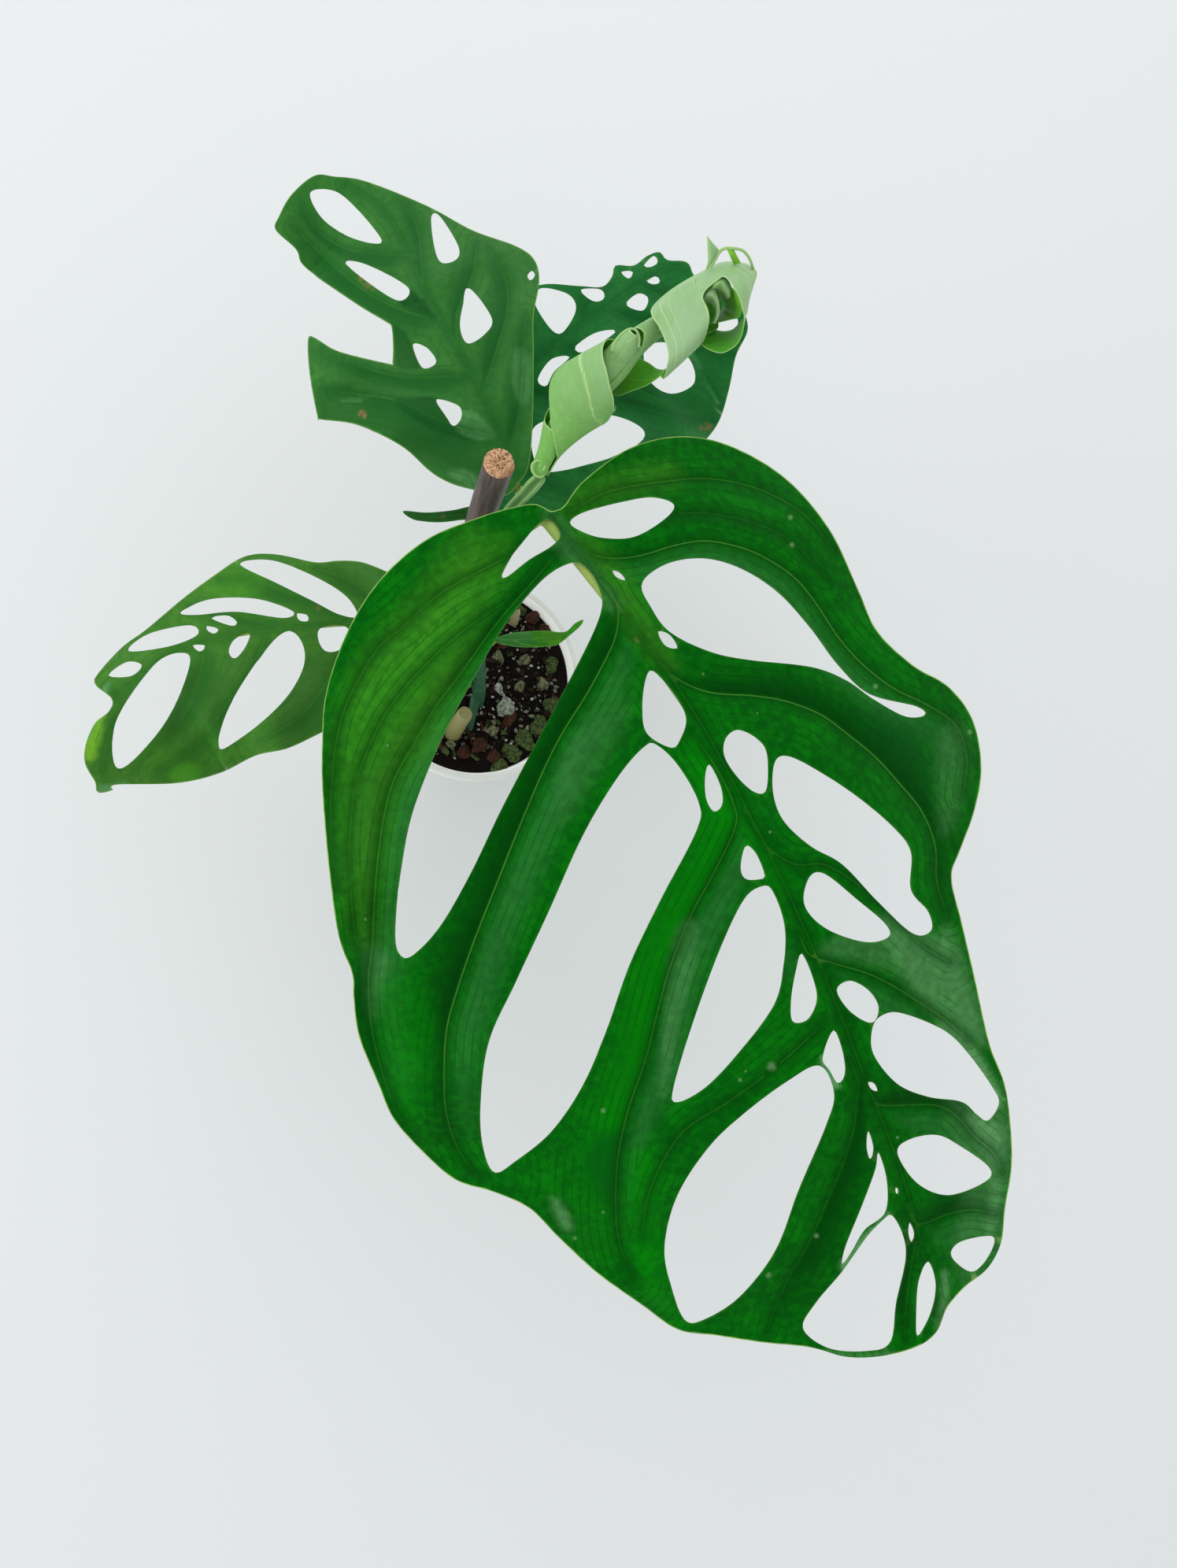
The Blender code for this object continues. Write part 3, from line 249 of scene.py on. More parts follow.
        ("dark", 0.4, 40, [(1090, 900), (1160, 915), (1190, 960), (1185, 1010), (1150, 990),
                           (1110, 940)]),
        ("pale", 0.3, 16, [(1040, 1210), (1090, 1180), (1140, 1200), (1200, 1240), (1235, 1300),
                           (1205, 1290), (1140, 1240), (1090, 1222)]),
        ("pale", 0.6, 22, [(1120, 1165), (1185, 1190), (1205, 1180), (1225, 1230), (1250, 1310),
                           (1240, 1325), (1180, 1280), (1140, 1230), (1120, 1200)]),
        ("pale", 0.9, 9, [(1195, 1295), (1225, 1312), (1262, 1370), (1275, 1400), (1268, 1412),
                          (1245, 1372), (1215, 1325), (1192, 1305)]),
        ("pale", 0.95, 24, [(1225, 1420), (1275, 1430), (1272, 1500), (1265, 1560), (1250, 1560),
                           (1258, 1500)]),
        ("pale", 0.35, 14, [(690, 648), (712, 655), (740, 700), (790, 765), (768, 772), (730, 720),
                            (700, 690)]),
        ("pale", 0.7, 8, [(1197, 1615), (1206, 1622), (1203, 1655), (1194, 1685), (1188, 1680),
                          (1194, 1650)]),
        ("pale", 0.6, 8, [(1050, 1716), (1090, 1719), (1130, 1717), (1130, 1724), (1080, 1726),
                          (1048, 1720)]),
        ("pale", 1, 4, [(1040, 1342), (1052, 1350), (1066, 1378), (1060, 1384), (1048, 1362)]),
        ("pale", 1, 4, [(1066, 1610), (1085, 1580), (1104, 1562), (1128, 1543), (1132, 1549),
                        (1110, 1570), (1090, 1592), (1072, 1614)]),
    ],
    "greens": {"mid": (0.0005, 0.092, 0.003), "bright": (0.002, 0.165, 0.003),
               "sheen": (0.026, 0.16, 0.035), "painted_shade": (0.0003, 0.045, 0.002),
               "vivid": (0.001, 0.21, 0.001)},
    "pale_edge": 1.0,
    "lines": 0.38,
    "gloss": 0.03,
    "slot": "leaf_front",
}
BACK_LEFT_LEAF = {
    "outline": [
        (660, 612), (672, 590), (677, 530), (678, 450), (678, 400), (685, 358), (679, 330), (655, 312),
        (600, 292), (540, 260), (465, 230), (425, 224), (399, 223), (370, 247), (354, 275), (350, 292),
        (376, 317), (388, 340), (450, 384), (491, 409), (497, 415), (499, 440), (498, 460), (494, 462),
        (430, 446), (400, 429), (391, 431), (393, 475), (403, 529), (407, 533), (455, 540), (510, 567),
        (545, 598), (570, 613), (600, 622), (640, 630),
    ],
    "holes": [
        [(394, 244), (425, 242), (455, 267), (484, 303), (474, 309), (440, 299), (408, 276)],
        [(438, 333), (465, 335), (518, 364), (508, 382), (475, 364)],
        [(548, 274), (559, 274), (582, 311), (580, 329), (560, 333), (551, 310)],
        [(596, 365), (625, 403), (616, 424), (594, 436), (584, 415), (588, 385)],
        [(524, 437), (542, 441), (554, 460), (536, 467)],
        [(554, 507), (582, 515), (586, 530), (576, 541), (564, 526)],
        [(670, 350), (676, 343), (680, 349), (674, 356)],
    ],
    "midrib": [(656, 604), (638, 560), (612, 500), (582, 445), (560, 405), (538, 365), (520, 325),
               (500, 285), (470, 252), (440, 234)],
    "heights": [243, 248, 247, 240, 228, 214],
    "halves": [(190, 20), (120, 14)],
    "veins": [
        (1, 0.3, "sd", [(632, 555), (590, 545), (550, 530), (500, 508), (450, 500), (410, 495)]),
        (0.8, 0.1, "sd", [(600, 480), (565, 478), (530, 480), (490, 475), (450, 462), (410, 450)]),
        (0.8, 0.2, "sd", [(560, 405), (530, 400), (490, 385), (450, 360), (410, 325), (375, 290)]),
        (0.7, 0.1, "sd", [(520, 325), (480, 322), (440, 316), (405, 295), (385, 265)]),
        (0.9, 0.3, "sd", [(612, 500), (632, 440), (645, 390), (640, 350), (620, 315)]),
        (0.8, 0.2, "sd", [(582, 445), (580, 400), (600, 350), (605, 310)]),
        (0.6, 0.1, "sd", [(538, 365), (535, 330), (530, 290), (510, 258)]),
        (0.7, 0.2, "sd", [(645, 575), (660, 520), (664, 460), (668, 400)]),
    ],
    "patches": [
        ("dark", 0.45, 40, [(400, 530), (480, 530), (560, 545), (630, 585), (640, 620), (590, 615),
                            (540, 590), (480, 550), (405, 532)]),
        ("dark", 0.7, 4, [(502, 509), (520, 505), (556, 507), (570, 536), (600, 558), (560, 551),
                          (525, 532)]),
        ("pale", 0.5, 4, [(590, 520), (612, 530), (628, 552), (624, 559), (600, 557), (580, 545)]),
        ("dark", 0.8, 4, [(506, 384), (520, 367), (538, 382), (556, 406), (530, 398)]),
        ("dark", 0.6, 4, [(499, 415), (512, 420), (524, 438), (534, 466), (505, 465), (500, 440)]),
        ("pale", 0.6, 8, [(654, 444), (668, 446), (674, 475), (670, 512), (658, 510), (650, 476)]),
        ("pale", 0.5, 9, [(570, 600), (592, 598), (612, 612), (608, 628), (585, 618)]),
        ("dry", 0.7, 3, [(454, 352), (463, 350), (472, 360), (476, 369), (464, 366)]),
        ("dry", 0.8, 3, [(455, 521), (464, 524), (467, 531), (459, 530)]),
        ("pale", 0.5, 3, [(430, 507), (448, 505), (468, 504), (466, 508), (444, 511)]),
    ],
    "greens": {"mid": (0.026, 0.152, 0.023), "bright": (0.044, 0.195, 0.03),
               "sheen": (0.055, 0.19, 0.05), "painted_shade": (0.008, 0.1, 0.014),
               "vivid": (0.028, 0.21, 0.014)},
    "pale_edge": 0.35,
    "lines": 0.12,
    "net": 4.0,
    "slot": "leaf_back_left",
}
BACK_RIGHT_LEAF = {
    "outline": [
        (628, 505), (622, 470), (635, 415), (660, 375), (690, 361), (735, 363), (765, 364), (778, 350),
        (782, 337), (805, 337), (822, 325), (838, 320), (848, 330), (873, 333), (884, 352), (915, 365),
        (940, 388), (950, 418), (935, 452), (926, 495), (912, 538), (885, 570), (840, 605),
        (780, 636), (730, 652), (690, 657), (641, 663), (620, 634), (626, 560),
    ],
    "holes": [
        [(678, 380), (688, 365), (722, 373), (732, 392), (718, 419), (706, 423), (690, 405)],
        [(738, 367), (764, 367), (768, 378), (758, 383), (746, 378)],
        [(789, 345), (804, 344), (799, 354)],
        [(818, 337), (831, 324), (836, 333), (826, 339)],
        [(821, 356), (834, 350), (839, 358), (830, 361)],
        [(796, 384), (811, 372), (824, 378), (818, 394), (801, 391)],
        [(731, 440), (757, 422), (783, 420), (756, 440), (738, 448)],
        [(683, 482), (700, 456), (724, 453), (704, 472), (694, 491)],
        [(818, 447), (835, 435), (860, 440), (880, 462), (881, 489), (852, 500), (826, 484)],
        [(677, 545), (720, 529), (782, 528), (820, 551), (790, 576), (720, 597), (684, 594)],
        [(902, 409), (920, 403), (937, 405), (935, 417), (921, 424), (905, 419)],
    ],
    "midrib": [(634, 507), (668, 470), (705, 437), (745, 408), (790, 376), (835, 346), (862, 338)],
    "heights": [188, 196, 199, 197, 190, 180],
    "halves": [(75, 9), (190, 22)],
    "veins": [
        (0.9, 0.2, "sd", [(650, 490), (690, 505), (740, 512), (800, 515), (860, 530), (900, 535)]),
        (0.8, 0.2, "sd", [(705, 437), (745, 455), (790, 480), (830, 505), (880, 515)]),
        (0.8, 0.1, "sd", [(770, 392), (810, 410), (860, 420), (905, 445), (930, 450)]),
        (0.6, 0.1, "sd", [(640, 520), (655, 570), (680, 610), (720, 625)]),
        (0.6, 0.1, "sd", [(810, 362), (850, 380), (890, 385), (920, 400)]),
        (0.5, 0.1, "sd", [(668, 470), (665, 430), (672, 400)]),
        (0.5, 0.1, "sd", [(745, 408), (748, 390), (775, 362)]),
    ],
    "patches": [("dry", 0.8, 3, [(888, 537), (896, 536), (903, 542), (899, 548), (891, 546)])],
    "greens": {"mid": (0.012, 0.15, 0.028), "bright": (0.02, 0.19, 0.032),
               "sheen": (0.035, 0.18, 0.06), "painted_shade": (0.005, 0.09, 0.016),
               "vivid": (0.016, 0.17, 0.018)},
    "pale_edge": 0.2,
    "lines": 0.15,
    "slot": "leaf_back_right",
}
LEFT_LEAF = {
    "outline": [
        (556, 796), (560, 765), (530, 742), (494, 727), (460, 714), (430, 712), (400, 714), (350, 704),
        (310, 707), (270, 732), (230, 762), (185, 800), (155, 822), (124, 856), (121, 870),
        (142, 888), (138, 904), (121, 918), (109, 945), (108, 970), (121, 994), (124, 1007),
        (143, 1004), (147, 997), (225, 995), (280, 982), (325, 960), (365, 951), (408, 931),
        (460, 905), (510, 868), (545, 825),
    ],
    "holes": [
        [(304, 716), (345, 711), (400, 732), (440, 757), (454, 783), (430, 780), (395, 762),
         (350, 740)],
        [(228, 778), (265, 761), (325, 760), (372, 776), (360, 785), (300, 777), (250, 781)],
        [(377, 779), (390, 781), (391, 789), (380, 788)],
        [(268, 785), (288, 781), (301, 790), (294, 795)],
        [(262, 795), (277, 799), (272, 805), (263, 801)],
        [(162, 827), (188, 805), (240, 794), (251, 806), (215, 821)],
        [(244, 820), (260, 820), (254, 828)],
        [(137, 858), (160, 841), (180, 845), (166, 859)],
        [(297, 812), (317, 804), (311, 823), (298, 837), (290, 828)],
        [(367, 801), (385, 820), (384, 852), (355, 897), (290, 949), (277, 943), (295, 890),
         (340, 822)],
        [(233, 829), (240, 848), (212, 915), (165, 970), (145, 970), (148, 915), (195, 845)],
        [(406, 798), (430, 794), (443, 800), (434, 824), (415, 828), (405, 815)],
    ],
    "midrib": [(552, 800), (500, 796), (448, 792), (385, 797), (322, 803), (262, 816), (205, 838),
               (150, 882)],
    "heights": [204, 210, 211, 206, 196, 180],
    "halves": [(185, 26), (95, 14)],
    "rib": (1.9, 0.7, 0.75),
    "keel": 0.7,
    "veins": [
        (0.9, 0.2, "sd", [(448, 794), (425, 850), (385, 905), (335, 940)]),
        (0.9, 0.2, "sd", [(340, 802), (318, 850), (280, 905), (245, 950), (200, 980)]),
        (0.7, 0.1, "sd", [(262, 816), (255, 850), (240, 895), (215, 940)]),
        (0.7, 0.2, "sd", [(448, 790), (410, 768), (360, 750), (310, 735), (280, 738)]),
        (0.6, 0.1, "sd", [(500, 796), (475, 760), (440, 735), (400, 722)]),
        (0.5, 0.1, "sd", [(385, 797), (340, 792), (290, 778), (240, 770)]),
        (0.4, 0.1, "sd", [(205, 838), (180, 880), (140, 930), (130, 980)]),
    ],
    "patches": [
        ("sun", 0.3, 30, [(170, 960), (230, 930), (330, 930), (340, 945), (280, 975), (200, 985)]),
        ("sun", 0.6, 20, [(262, 748), (300, 722), (337, 726), (330, 752), (290, 758)]),
        ("sun", 0.8, 14, [(215, 974), (232, 966), (254, 972), (250, 992), (222, 994)]),
        ("lime", 0.9, 8, [(118, 908), (130, 907), (129, 935), (120, 964), (110, 967), (106, 945)]),
        ("dark", 0.6, 16, [(240, 850), (252, 856), (226, 920), (180, 974), (166, 976), (208, 925)]),
        ("pale", 0.8, 5, [(106, 930), (116, 905), (134, 868), (140, 872), (126, 905), (114, 936)]),
        ("pale", 0.8, 5, [(123, 1000), (145, 996), (167, 998), (165, 1010), (140, 1013), (124, 1010)]),
        ("dry", 0.8, 3, [(401, 767), (409, 769), (410, 775), (402, 774)]),
        ("dry", 0.8, 3, [(414, 818), (424, 817), (424, 825), (415, 826)]),
    ],
    "greens": {"mid": (0.046, 0.18, 0.022), "bright": (0.07, 0.23, 0.028),
               "sheen": (0.06, 0.2, 0.045), "painted_shade": (0.018, 0.125, 0.014),
               "vivid": (0.05, 0.24, 0.015)},
    "pale_edge": 0.35,
    "lines": 0.12,
    "slot": "leaf_left",
}
YOUNG_LEAF = {
    "outline": [
        (628, 812), (650, 804), (690, 801), (711, 803), (721, 801), (730, 792), (741, 787), (737, 795),
        (726, 805), (713, 816), (700, 821), (660, 822), (636, 818),
    ],
    "midrib": [(634, 813), (660, 812), (690, 810), (712, 808)],
    "heights": [131, 134, 135, 134],
    "halves": [(12, 1), (12, 1)],
    "waves": (1, 0),
    "rib": (1.1, 0.6, 0.9),
    "veins": [(0.2, 1, "bs", [(634, 811), (652, 814), (668, 819), (690, 820)])],
    "patches": [("lime", 0.6, 5, [(673, 810), (695, 804), (717, 805), (712, 816), (690, 818)]),
                ("pale", 0.9, 8, [(628, 812), (650, 803), (672, 802), (676, 812), (662, 823),
                                  (636, 819)])],
    "greens": {"mid": (0.045, 0.26, 0.02), "bright": (0.06, 0.33, 0.015),
               "sheen": (0.1, 0.26, 0.1), "painted_shade": (0.02, 0.17, 0.02),
               "vivid": (0.05, 0.33, 0.01)},
    "pale_edge": 0.5,
    "lines": 0.5,
    "net": 3.0,
    "slot": "leaf_young",
}
STRAP_LEAF = {
    "outline": [
        (605, 652), (600, 643), (575, 648), (542, 651), (512, 649), (524, 659), (540, 662),
        (560, 663), (588, 660), (602, 659),
    ],
    "midrib": [(602, 651), (575, 655), (545, 657), (522, 654)],
    "heights": [213, 214, 214, 213],
    "halves": [(12, 1), (12, 1)],
    "waves": (1, 0),
    "rib": (1.1, 0.6, 0.9),
    "veins": [],
    "patches": [("dry", 0.7, 3, [(558, 652), (565, 652), (566, 657), (560, 658)])],
    "greens": {"mid": (0.03, 0.15, 0.03), "bright": (0.04, 0.18, 0.03),
               "sheen": (0.05, 0.17, 0.06), "painted_shade": (0.015, 0.1, 0.02),
               "vivid": (0.03, 0.16, 0.02)},
    "pale_edge": 0.5,
    "lines": 0.5,
    "net": 3.0,
    "slot": "leaf_strap",
}
# What a patch of each kind looks like. The patches of sunlight are painted light and the dark ones
# painted shade; the pale ones are painted sheen and highlights in places and pale leaf edges in others.
PATCH_TINTS = {
    "vivid": (0.001, 0.25, 0.001),
    "dark": (0.001, 0.05, 0.008),
    "sun": (0.075, 0.33, 0.02),
    "lime": (0.2, 0.5, 0.03),
    "pale": (0.11, 0.32, 0.11),
    "dry": (0.3, 0.17, 0.07),
}
LEAVES = {
    "front_leaf": {**COMMON, **FRONT_LEAF},
    "back_left_leaf": {**COMMON, **BACK_LEFT_LEAF},
    "back_right_leaf": {**COMMON, **BACK_RIGHT_LEAF},
    "left_leaf": {**COMMON, **LEFT_LEAF},
    "young_leaf": {**COMMON, **YOUNG_LEAF},
    "strap_leaf": {**COMMON, **STRAP_LEAF},
}

# Routes of the stem, its root, its old stub and the leaf stalks, in millimetres. Each goes from its
# foot upwards, apart from the root's. A leaf's stalk has the radius of its foot before its route.
STEM_ROUTE = [(1, -11, 50), (1, -11, 84), (-1, -5, 108), (-4, 4, 135), (-6, 9, 158)]
ROOT_ROUTE = [(-0.5, -9.5, 91), (-1.5, -15, 88), (-2.7, -21, 85), (-3.4, -25.5, 82)]
STUB_ROUTE = [(-11.6, -27.7, 72), (-11.3, -27.2, 86), (-7.4, -21, 104)]
SHEATH_FOOT = (20, 29, 72)
STALKS = {
    "front_leaf": (2.9, [(-7.5, 0.2, 140), (-9.2, 5, 172), (-8.8, 9.8, 205), (-7.4, 13.4, 238),
                         (-3.2, 18.4, 262)]),
    "back_left_leaf": (2.3, [(-3.3, 8.2, 131), (-4.5, 18, 165), (-3, 29, 198), (2, 44, 226)]),
    "back_right_leaf": (2.2, [(0.7, -2.6, 100), (0.6, 19.3, 108), (-0.5, 45, 124), (0.5, 68, 150)]),
    "left_leaf": (2.2, [(-6.2, -6, 103), (-14, -7, 130), (-22, -6, 168), (-27, -5, 192)]),
    "young_leaf": (1.3, [(-1.4, 2.7, 117), (1.6, 6.6, 124)]),
    "strap_leaf": (1.1, [(-6.7, 26.5, 190), (-5, 36.5, 201)]),
}
NEW_STALK_ROUTE = [(-6.1, 9.2, 158.6), (-6.3, 14, 185), (-7, 17.5, 215), (-10.3, 19.5, 242),
                   (-8.5, 21, 270), (-4.3, 22.6, 288), (-1.5, 23.9, 297.6)]

# What is scattered on the soil: its seed, whose count it has and what share of it, its size in
# millimetres, its shape and the two ends of its colour.
SOIL_LAYERS = {
    "soil_dark_bark": (1, "bark", 1, 3.4, (1.5, 1.0, 0.6),
                       (0.004, 0.003, 0.003), (0.03, 0.017, 0.012)),
    "soil_red_bark": (2, "bark", 0.25, 4, (1.5, 0.9, 0.5),
                      (0.03, 0.01, 0.008), (0.08, 0.028, 0.018)),
    "soil_grains": (3, "grains", 1, 2.1, (1.15, 0.95, 0.75),
                    (0.02, 0.022, 0.012), (0.24, 0.24, 0.17)),
    "soil_pale_grains": (4, "grains", 0.4, 1.6, (1.1, 0.95, 0.8),
                         (0.3, 0.32, 0.26), (0.6, 0.62, 0.56)),
    "soil_moss": (5, "moss", 1, 4, (1.3, 1.1, 0.6), (0.012, 0.025, 0.006), (0.09, 0.13, 0.04)),
}

# Larger lumps on the soil: square of the board, radius in millimetres, height for its width, and
# which tint: white grain, cream grain, moss or red bark.
CHUNK_TINTS = [(0.42, 0.46, 0.38), (0.2, 0.21, 0.11), (0.08, 0.12, 0.035), (0.07, 0.025, 0.016)]
CHUNKS = [(642, 898, 4.2, 0.7, 0), (632, 833, 2.4, 0.8, 1), (661, 871, 2.2, 0.8, 1),
          (624, 929, 2.6, 0.8, 1), (634, 876, 2.4, 0.8, 0), (572, 945, 2.2, 0.8, 1),
          (668, 838, 2.6, 0.8, 1), (690, 868, 3, 0.7, 1), (700, 895, 3.4, 0.7, 2),
          (668, 942, 4.6, 0.55, 2), (652, 958, 4, 0.55, 2), (684, 922, 3.6, 0.6, 2),
          (633, 975, 3.4, 0.6, 2), (646, 913, 3.2, 0.6, 3), (608, 948, 3.6, 0.6, 3),
          (590, 956, 3, 0.6, 3), (626, 962, 3, 0.6, 3), (700, 845, 3, 0.6, 2),
          (676, 786, 3, 0.6, 3), (690, 800, 2.6, 0.6, 3), (662, 776, 2.4, 0.7, 2)]

# The newest leaf's roll: squares of the board, height and radius in millimetres along its middle.
# Then how it winds: degrees round the middle from its lower right over the front, where its two
# edges lie along it, and its share of the radius. The long vein has its place for each turn.
ROLL = [(684, 601, 298, 3), (697, 573, 304, 3.8), (714, 541, 310, 6.9), (736, 507, 316, 10.8),
        (758, 487, 322, 9.9), (800, 460, 331, 9.1), (856, 415, 341, 8.6), (876, 399, 346, 8.6),
        (900, 385, 350, 9)]
BAND_MIDDLE = 50  # the place on the roll's middle that the upper band goes round
WINDING = [(-700, 0.25, 1.3, 0.25), (-600, 0.15, 1.5, 0.4), (-480, 0.08, 1.6, 0.55),
           (-360, 0.05, 1.7, 0.7), (-270, 0.02, 1.85, 0.82), (-180, 0, 1.95, 0.9),
           (-90, 0, 3, 0.95), (-20, 0, 3.85, 1), (0, 0.2, 3.97, 1), (14, 0.85, 4.05, 1),
           (54, 1.18, 4.45, 1), (84, 1.5, 4.6, 1), (111, 1.88, 4.7, 1), (132, 2.23, 4.72, 1),
           (153, 2.65, 4.75, 1), (180, 3.03, 4.8, 1), (225, 3.35, 4.88, 1), (276, 3.6, 5.05, 1),
           (305, 3.75, 5.2, 1), (325, 4.1, 5.27, 1), (335, 4.6, 5.32, 1), (350, 4.97, 5.42, 1),
           (362, 5.22, 5.6, 0.99), (378, 5.4, 5.9, 0.95)]
LONG_VEIN = [(-20, 2.2), (3, 2.57), (66, 3.78), (93, 4.02), (126, 4.17), (165, 4.13), (225, 4.1),
             (297, 4.32), (306, 4.58), (333, 4.98), (348, 5.13), (378, 5.5)]
BACK_WINDING = [(520, 5.85, 7.9, 0.84), (560, 5.95, 7.95, 0.86), (630, 6.1, 7.95, 0.88),
                (700, 6.2, 7.9, 0.87), (735, 6.3, 7.8, 0.85)]
CORE = [(690, 592, 299, 2.4), (708, 552, 308, 3.8), (735, 508, 316, 5), (760, 482, 323, 5.3),
        (780, 463, 328, 5), (802, 440, 333, 3.9), (822, 424, 336, 3.2), (846, 408, 338, 2.7),
        (872, 395, 342, 2.3), (893, 387, 346, 2.1)]
CORE_WINDINGS = [
    [(-60, 0.5, 5.1, 0.93), (0, 0.5, 5.38, 0.95), (69, 0.5, 5.42, 0.96), (87, 0.5, 5.2, 0.97),
     (117, 0.5, 4.87, 0.98), (150, 0.5, 4.57, 1), (180, 0.5, 4.25, 1), (225, 0.5, 4.1, 1),
     (270, 0.5, 4.25, 1), (315, 0.5, 4.8, 1), (360, 0.5, 5.32, 1), (420, 0.6, 5.42, 1.03)],
    [(-90, 5.2, 7, 1), (0, 5, 7, 1.02), (48, 5.23, 7, 1.04), (66, 5.5, 7, 1.05), (108, 5.85, 7, 1.05),
     (150, 5.77, 7, 1.05), (180, 5.6, 7, 1.05), (270, 5.4, 7, 1.06), (330, 5.3, 7, 1.07)],
]
HOOD = [(772, 468, 326, 4.3), (786, 453, 330, 4.3), (795, 441, 334, 3.7), (801, 430, 337, 2.6),
        (805, 420, 339, 1)]
HOOD_WINDING = [(0, 0, 3.7, 0.9), (90, 0, 3.9, 0.94), (180, 0, 4, 0.97), (300, 0, 4, 1),
                (400, 0, 3.6, 1.04), (440, 0, 3, 1.08)]

# The rest of it is drawn in rows across, each of squares of the board and a height in millimetres:
# the upper band with the mouth that it ends in, then the smaller parts in and round the mouth.
UPPER_BAND = [
    [(838, 476, 331), (862, 455, 338), (889, 431, 345)],
    [(843, 481, 336), (868, 458, 343), (893, 434, 349)],
    [(847, 466, 343), (872, 447, 348), (898, 420, 354)],
    [(849, 450, 346), (875, 429, 351.5), (901, 405, 357)],
    [(845, 434, 347), (871, 408, 352.5), (899, 392, 358)],
    [(838, 417, 346.5), (865, 391, 352.5), (893, 379, 358.5)],
    [(828, 401, 344.5), (860, 379, 351.5), (895, 371, 358.7)],
    [(829, 390, 341.5), (863, 369, 350.5), (899, 366, 359)],
    [(846, 373, 342), (876, 361, 351.5), (905, 361, 360)],
    [(868, 358, 344), (892, 351, 354), (913, 355, 361.5)],
    [(892, 345, 347), (907, 342, 356.5), (921, 350, 363)],
    [(914, 334, 350), (922, 340, 359), (928, 358, 364)],
    [(936, 333, 352), (936, 342, 361), (933, 367, 365)],
    [(952, 337, 354), (947, 350, 362), (938, 376, 365.5)],
    [(961, 346, 355), (952, 362, 362), (941, 385, 365)],
    [(957, 361, 354.5), (951, 375, 361), (943, 393, 364)],
    [(952, 378, 353.5), (949, 387, 359), (945, 401, 362.5)],
    [(949, 394, 352), (947, 400, 357), (945, 408, 361)],
    [(944, 405, 350), (943, 411, 355), (944, 417, 359.5)],
    [(938, 412, 348.5), (940, 420, 353.5), (941, 428, 358)],
    [(930, 419, 346.5), (933, 430, 351.5), (934, 439, 356)],
    [(918, 421, 345), (919, 437, 350), (918, 448, 354)],
    [(905, 418, 344), (906, 434, 348), (903, 445, 351)],
    [(896, 416, 342.5), (895, 428, 345.5), (890, 437, 348)],
    [(886, 412, 341), (885, 421, 343.5), (880, 427, 346)],
]
MOUTH_PARTS = [
    (-1, 0.9, [  # the bowl inside the mouth
        [(903, 366, 357), (909, 374, 350), (913, 382, 343)],
        [(914, 360, 359), (915, 371, 351), (915, 381, 343)],
        [(925, 362, 361), (920, 373, 352), (917, 382, 343)],
        [(934, 370, 362), (925, 377, 352), (918, 384, 343)],
        [(940, 382, 362), (928, 384, 351), (918, 387, 343)],
        [(942, 393, 360), (929, 391, 350), (918, 390, 343)],
        [(938, 403, 357), (927, 397, 349), (917, 393, 343)],
        [(927, 406, 353), (920, 400, 348), (915, 395, 343)],
        [(915, 409, 351), (914, 402, 347), (913, 396, 343)],
        [(904, 411, 350), (908, 402, 346), (911, 395, 343)]]),
    (-1, 0.1, [  # the shade under the crescent
        [(892, 380, 349), (893, 395, 346), (896, 412, 345)],
        [(900, 380, 350), (901, 395, 346), (902, 411, 346)],
        [(908, 384, 350), (908, 396, 347), (907, 410, 347)]]),
    (1, 0.2, [  # the crescent
        [(891, 374, 355), (891, 381, 355.5), (892, 387, 353)],
        [(898, 368, 357), (898, 376, 357.5), (898, 384, 354)],
        [(905, 367, 358), (905, 376, 358), (903, 385, 354.5)],
        [(910, 374, 358), (909, 382, 357.5), (906, 389, 354.5)],
        [(913, 384, 357.5), (911, 389, 357), (908, 394, 354)],
        [(914, 395, 356.5), (911, 398, 356), (908, 400, 353.5)],
        [(912, 404, 355), (909, 405, 354.5), (906, 406, 352.5)],
        [(908, 411, 353.5), (906, 411, 353), (904, 411, 352)]]),
    (1, 0.6, [  # the knob
        [(902, 365, 357.5), (904, 367, 358), (907, 370, 355)],
        [(909, 357, 360), (910, 363, 360.5), (911, 369, 356)],
        [(919, 352, 361), (917, 361, 361.5), (916, 370, 357)],
        [(926, 358, 361), (922, 366, 361.5), (919, 372, 357)],
        [(929, 367, 361), (926, 372, 361), (922, 376, 357)],
        [(928, 377, 359), (926, 378, 359), (925, 380, 357)]]),
    (1, 0.0, [  # the drip tip
        [(898, 299, 362), (898.6, 300, 362), (899, 301, 362)],
        [(898.6, 309, 361), (902, 309, 361.6), (906, 309.5, 361)],
        [(899, 320, 359.5), (905, 319, 360.5), (913, 318, 360)],
        [(899, 332, 357.5), (904, 330, 358.5), (909, 327, 358.5)],
        [(895, 346, 355), (899, 341, 356), (903, 337, 356.5)]]),
    (-1, 1.0, [  # the fresh strand behind the tip
        [(923, 316, 361), (927, 315, 361.3), (931, 315, 361)],
        [(927, 325, 360.5), (931, 324, 360.8), (935, 323, 360.5)],
        [(932, 336, 358), (936, 335, 358.3), (941, 334, 358)]]),
]
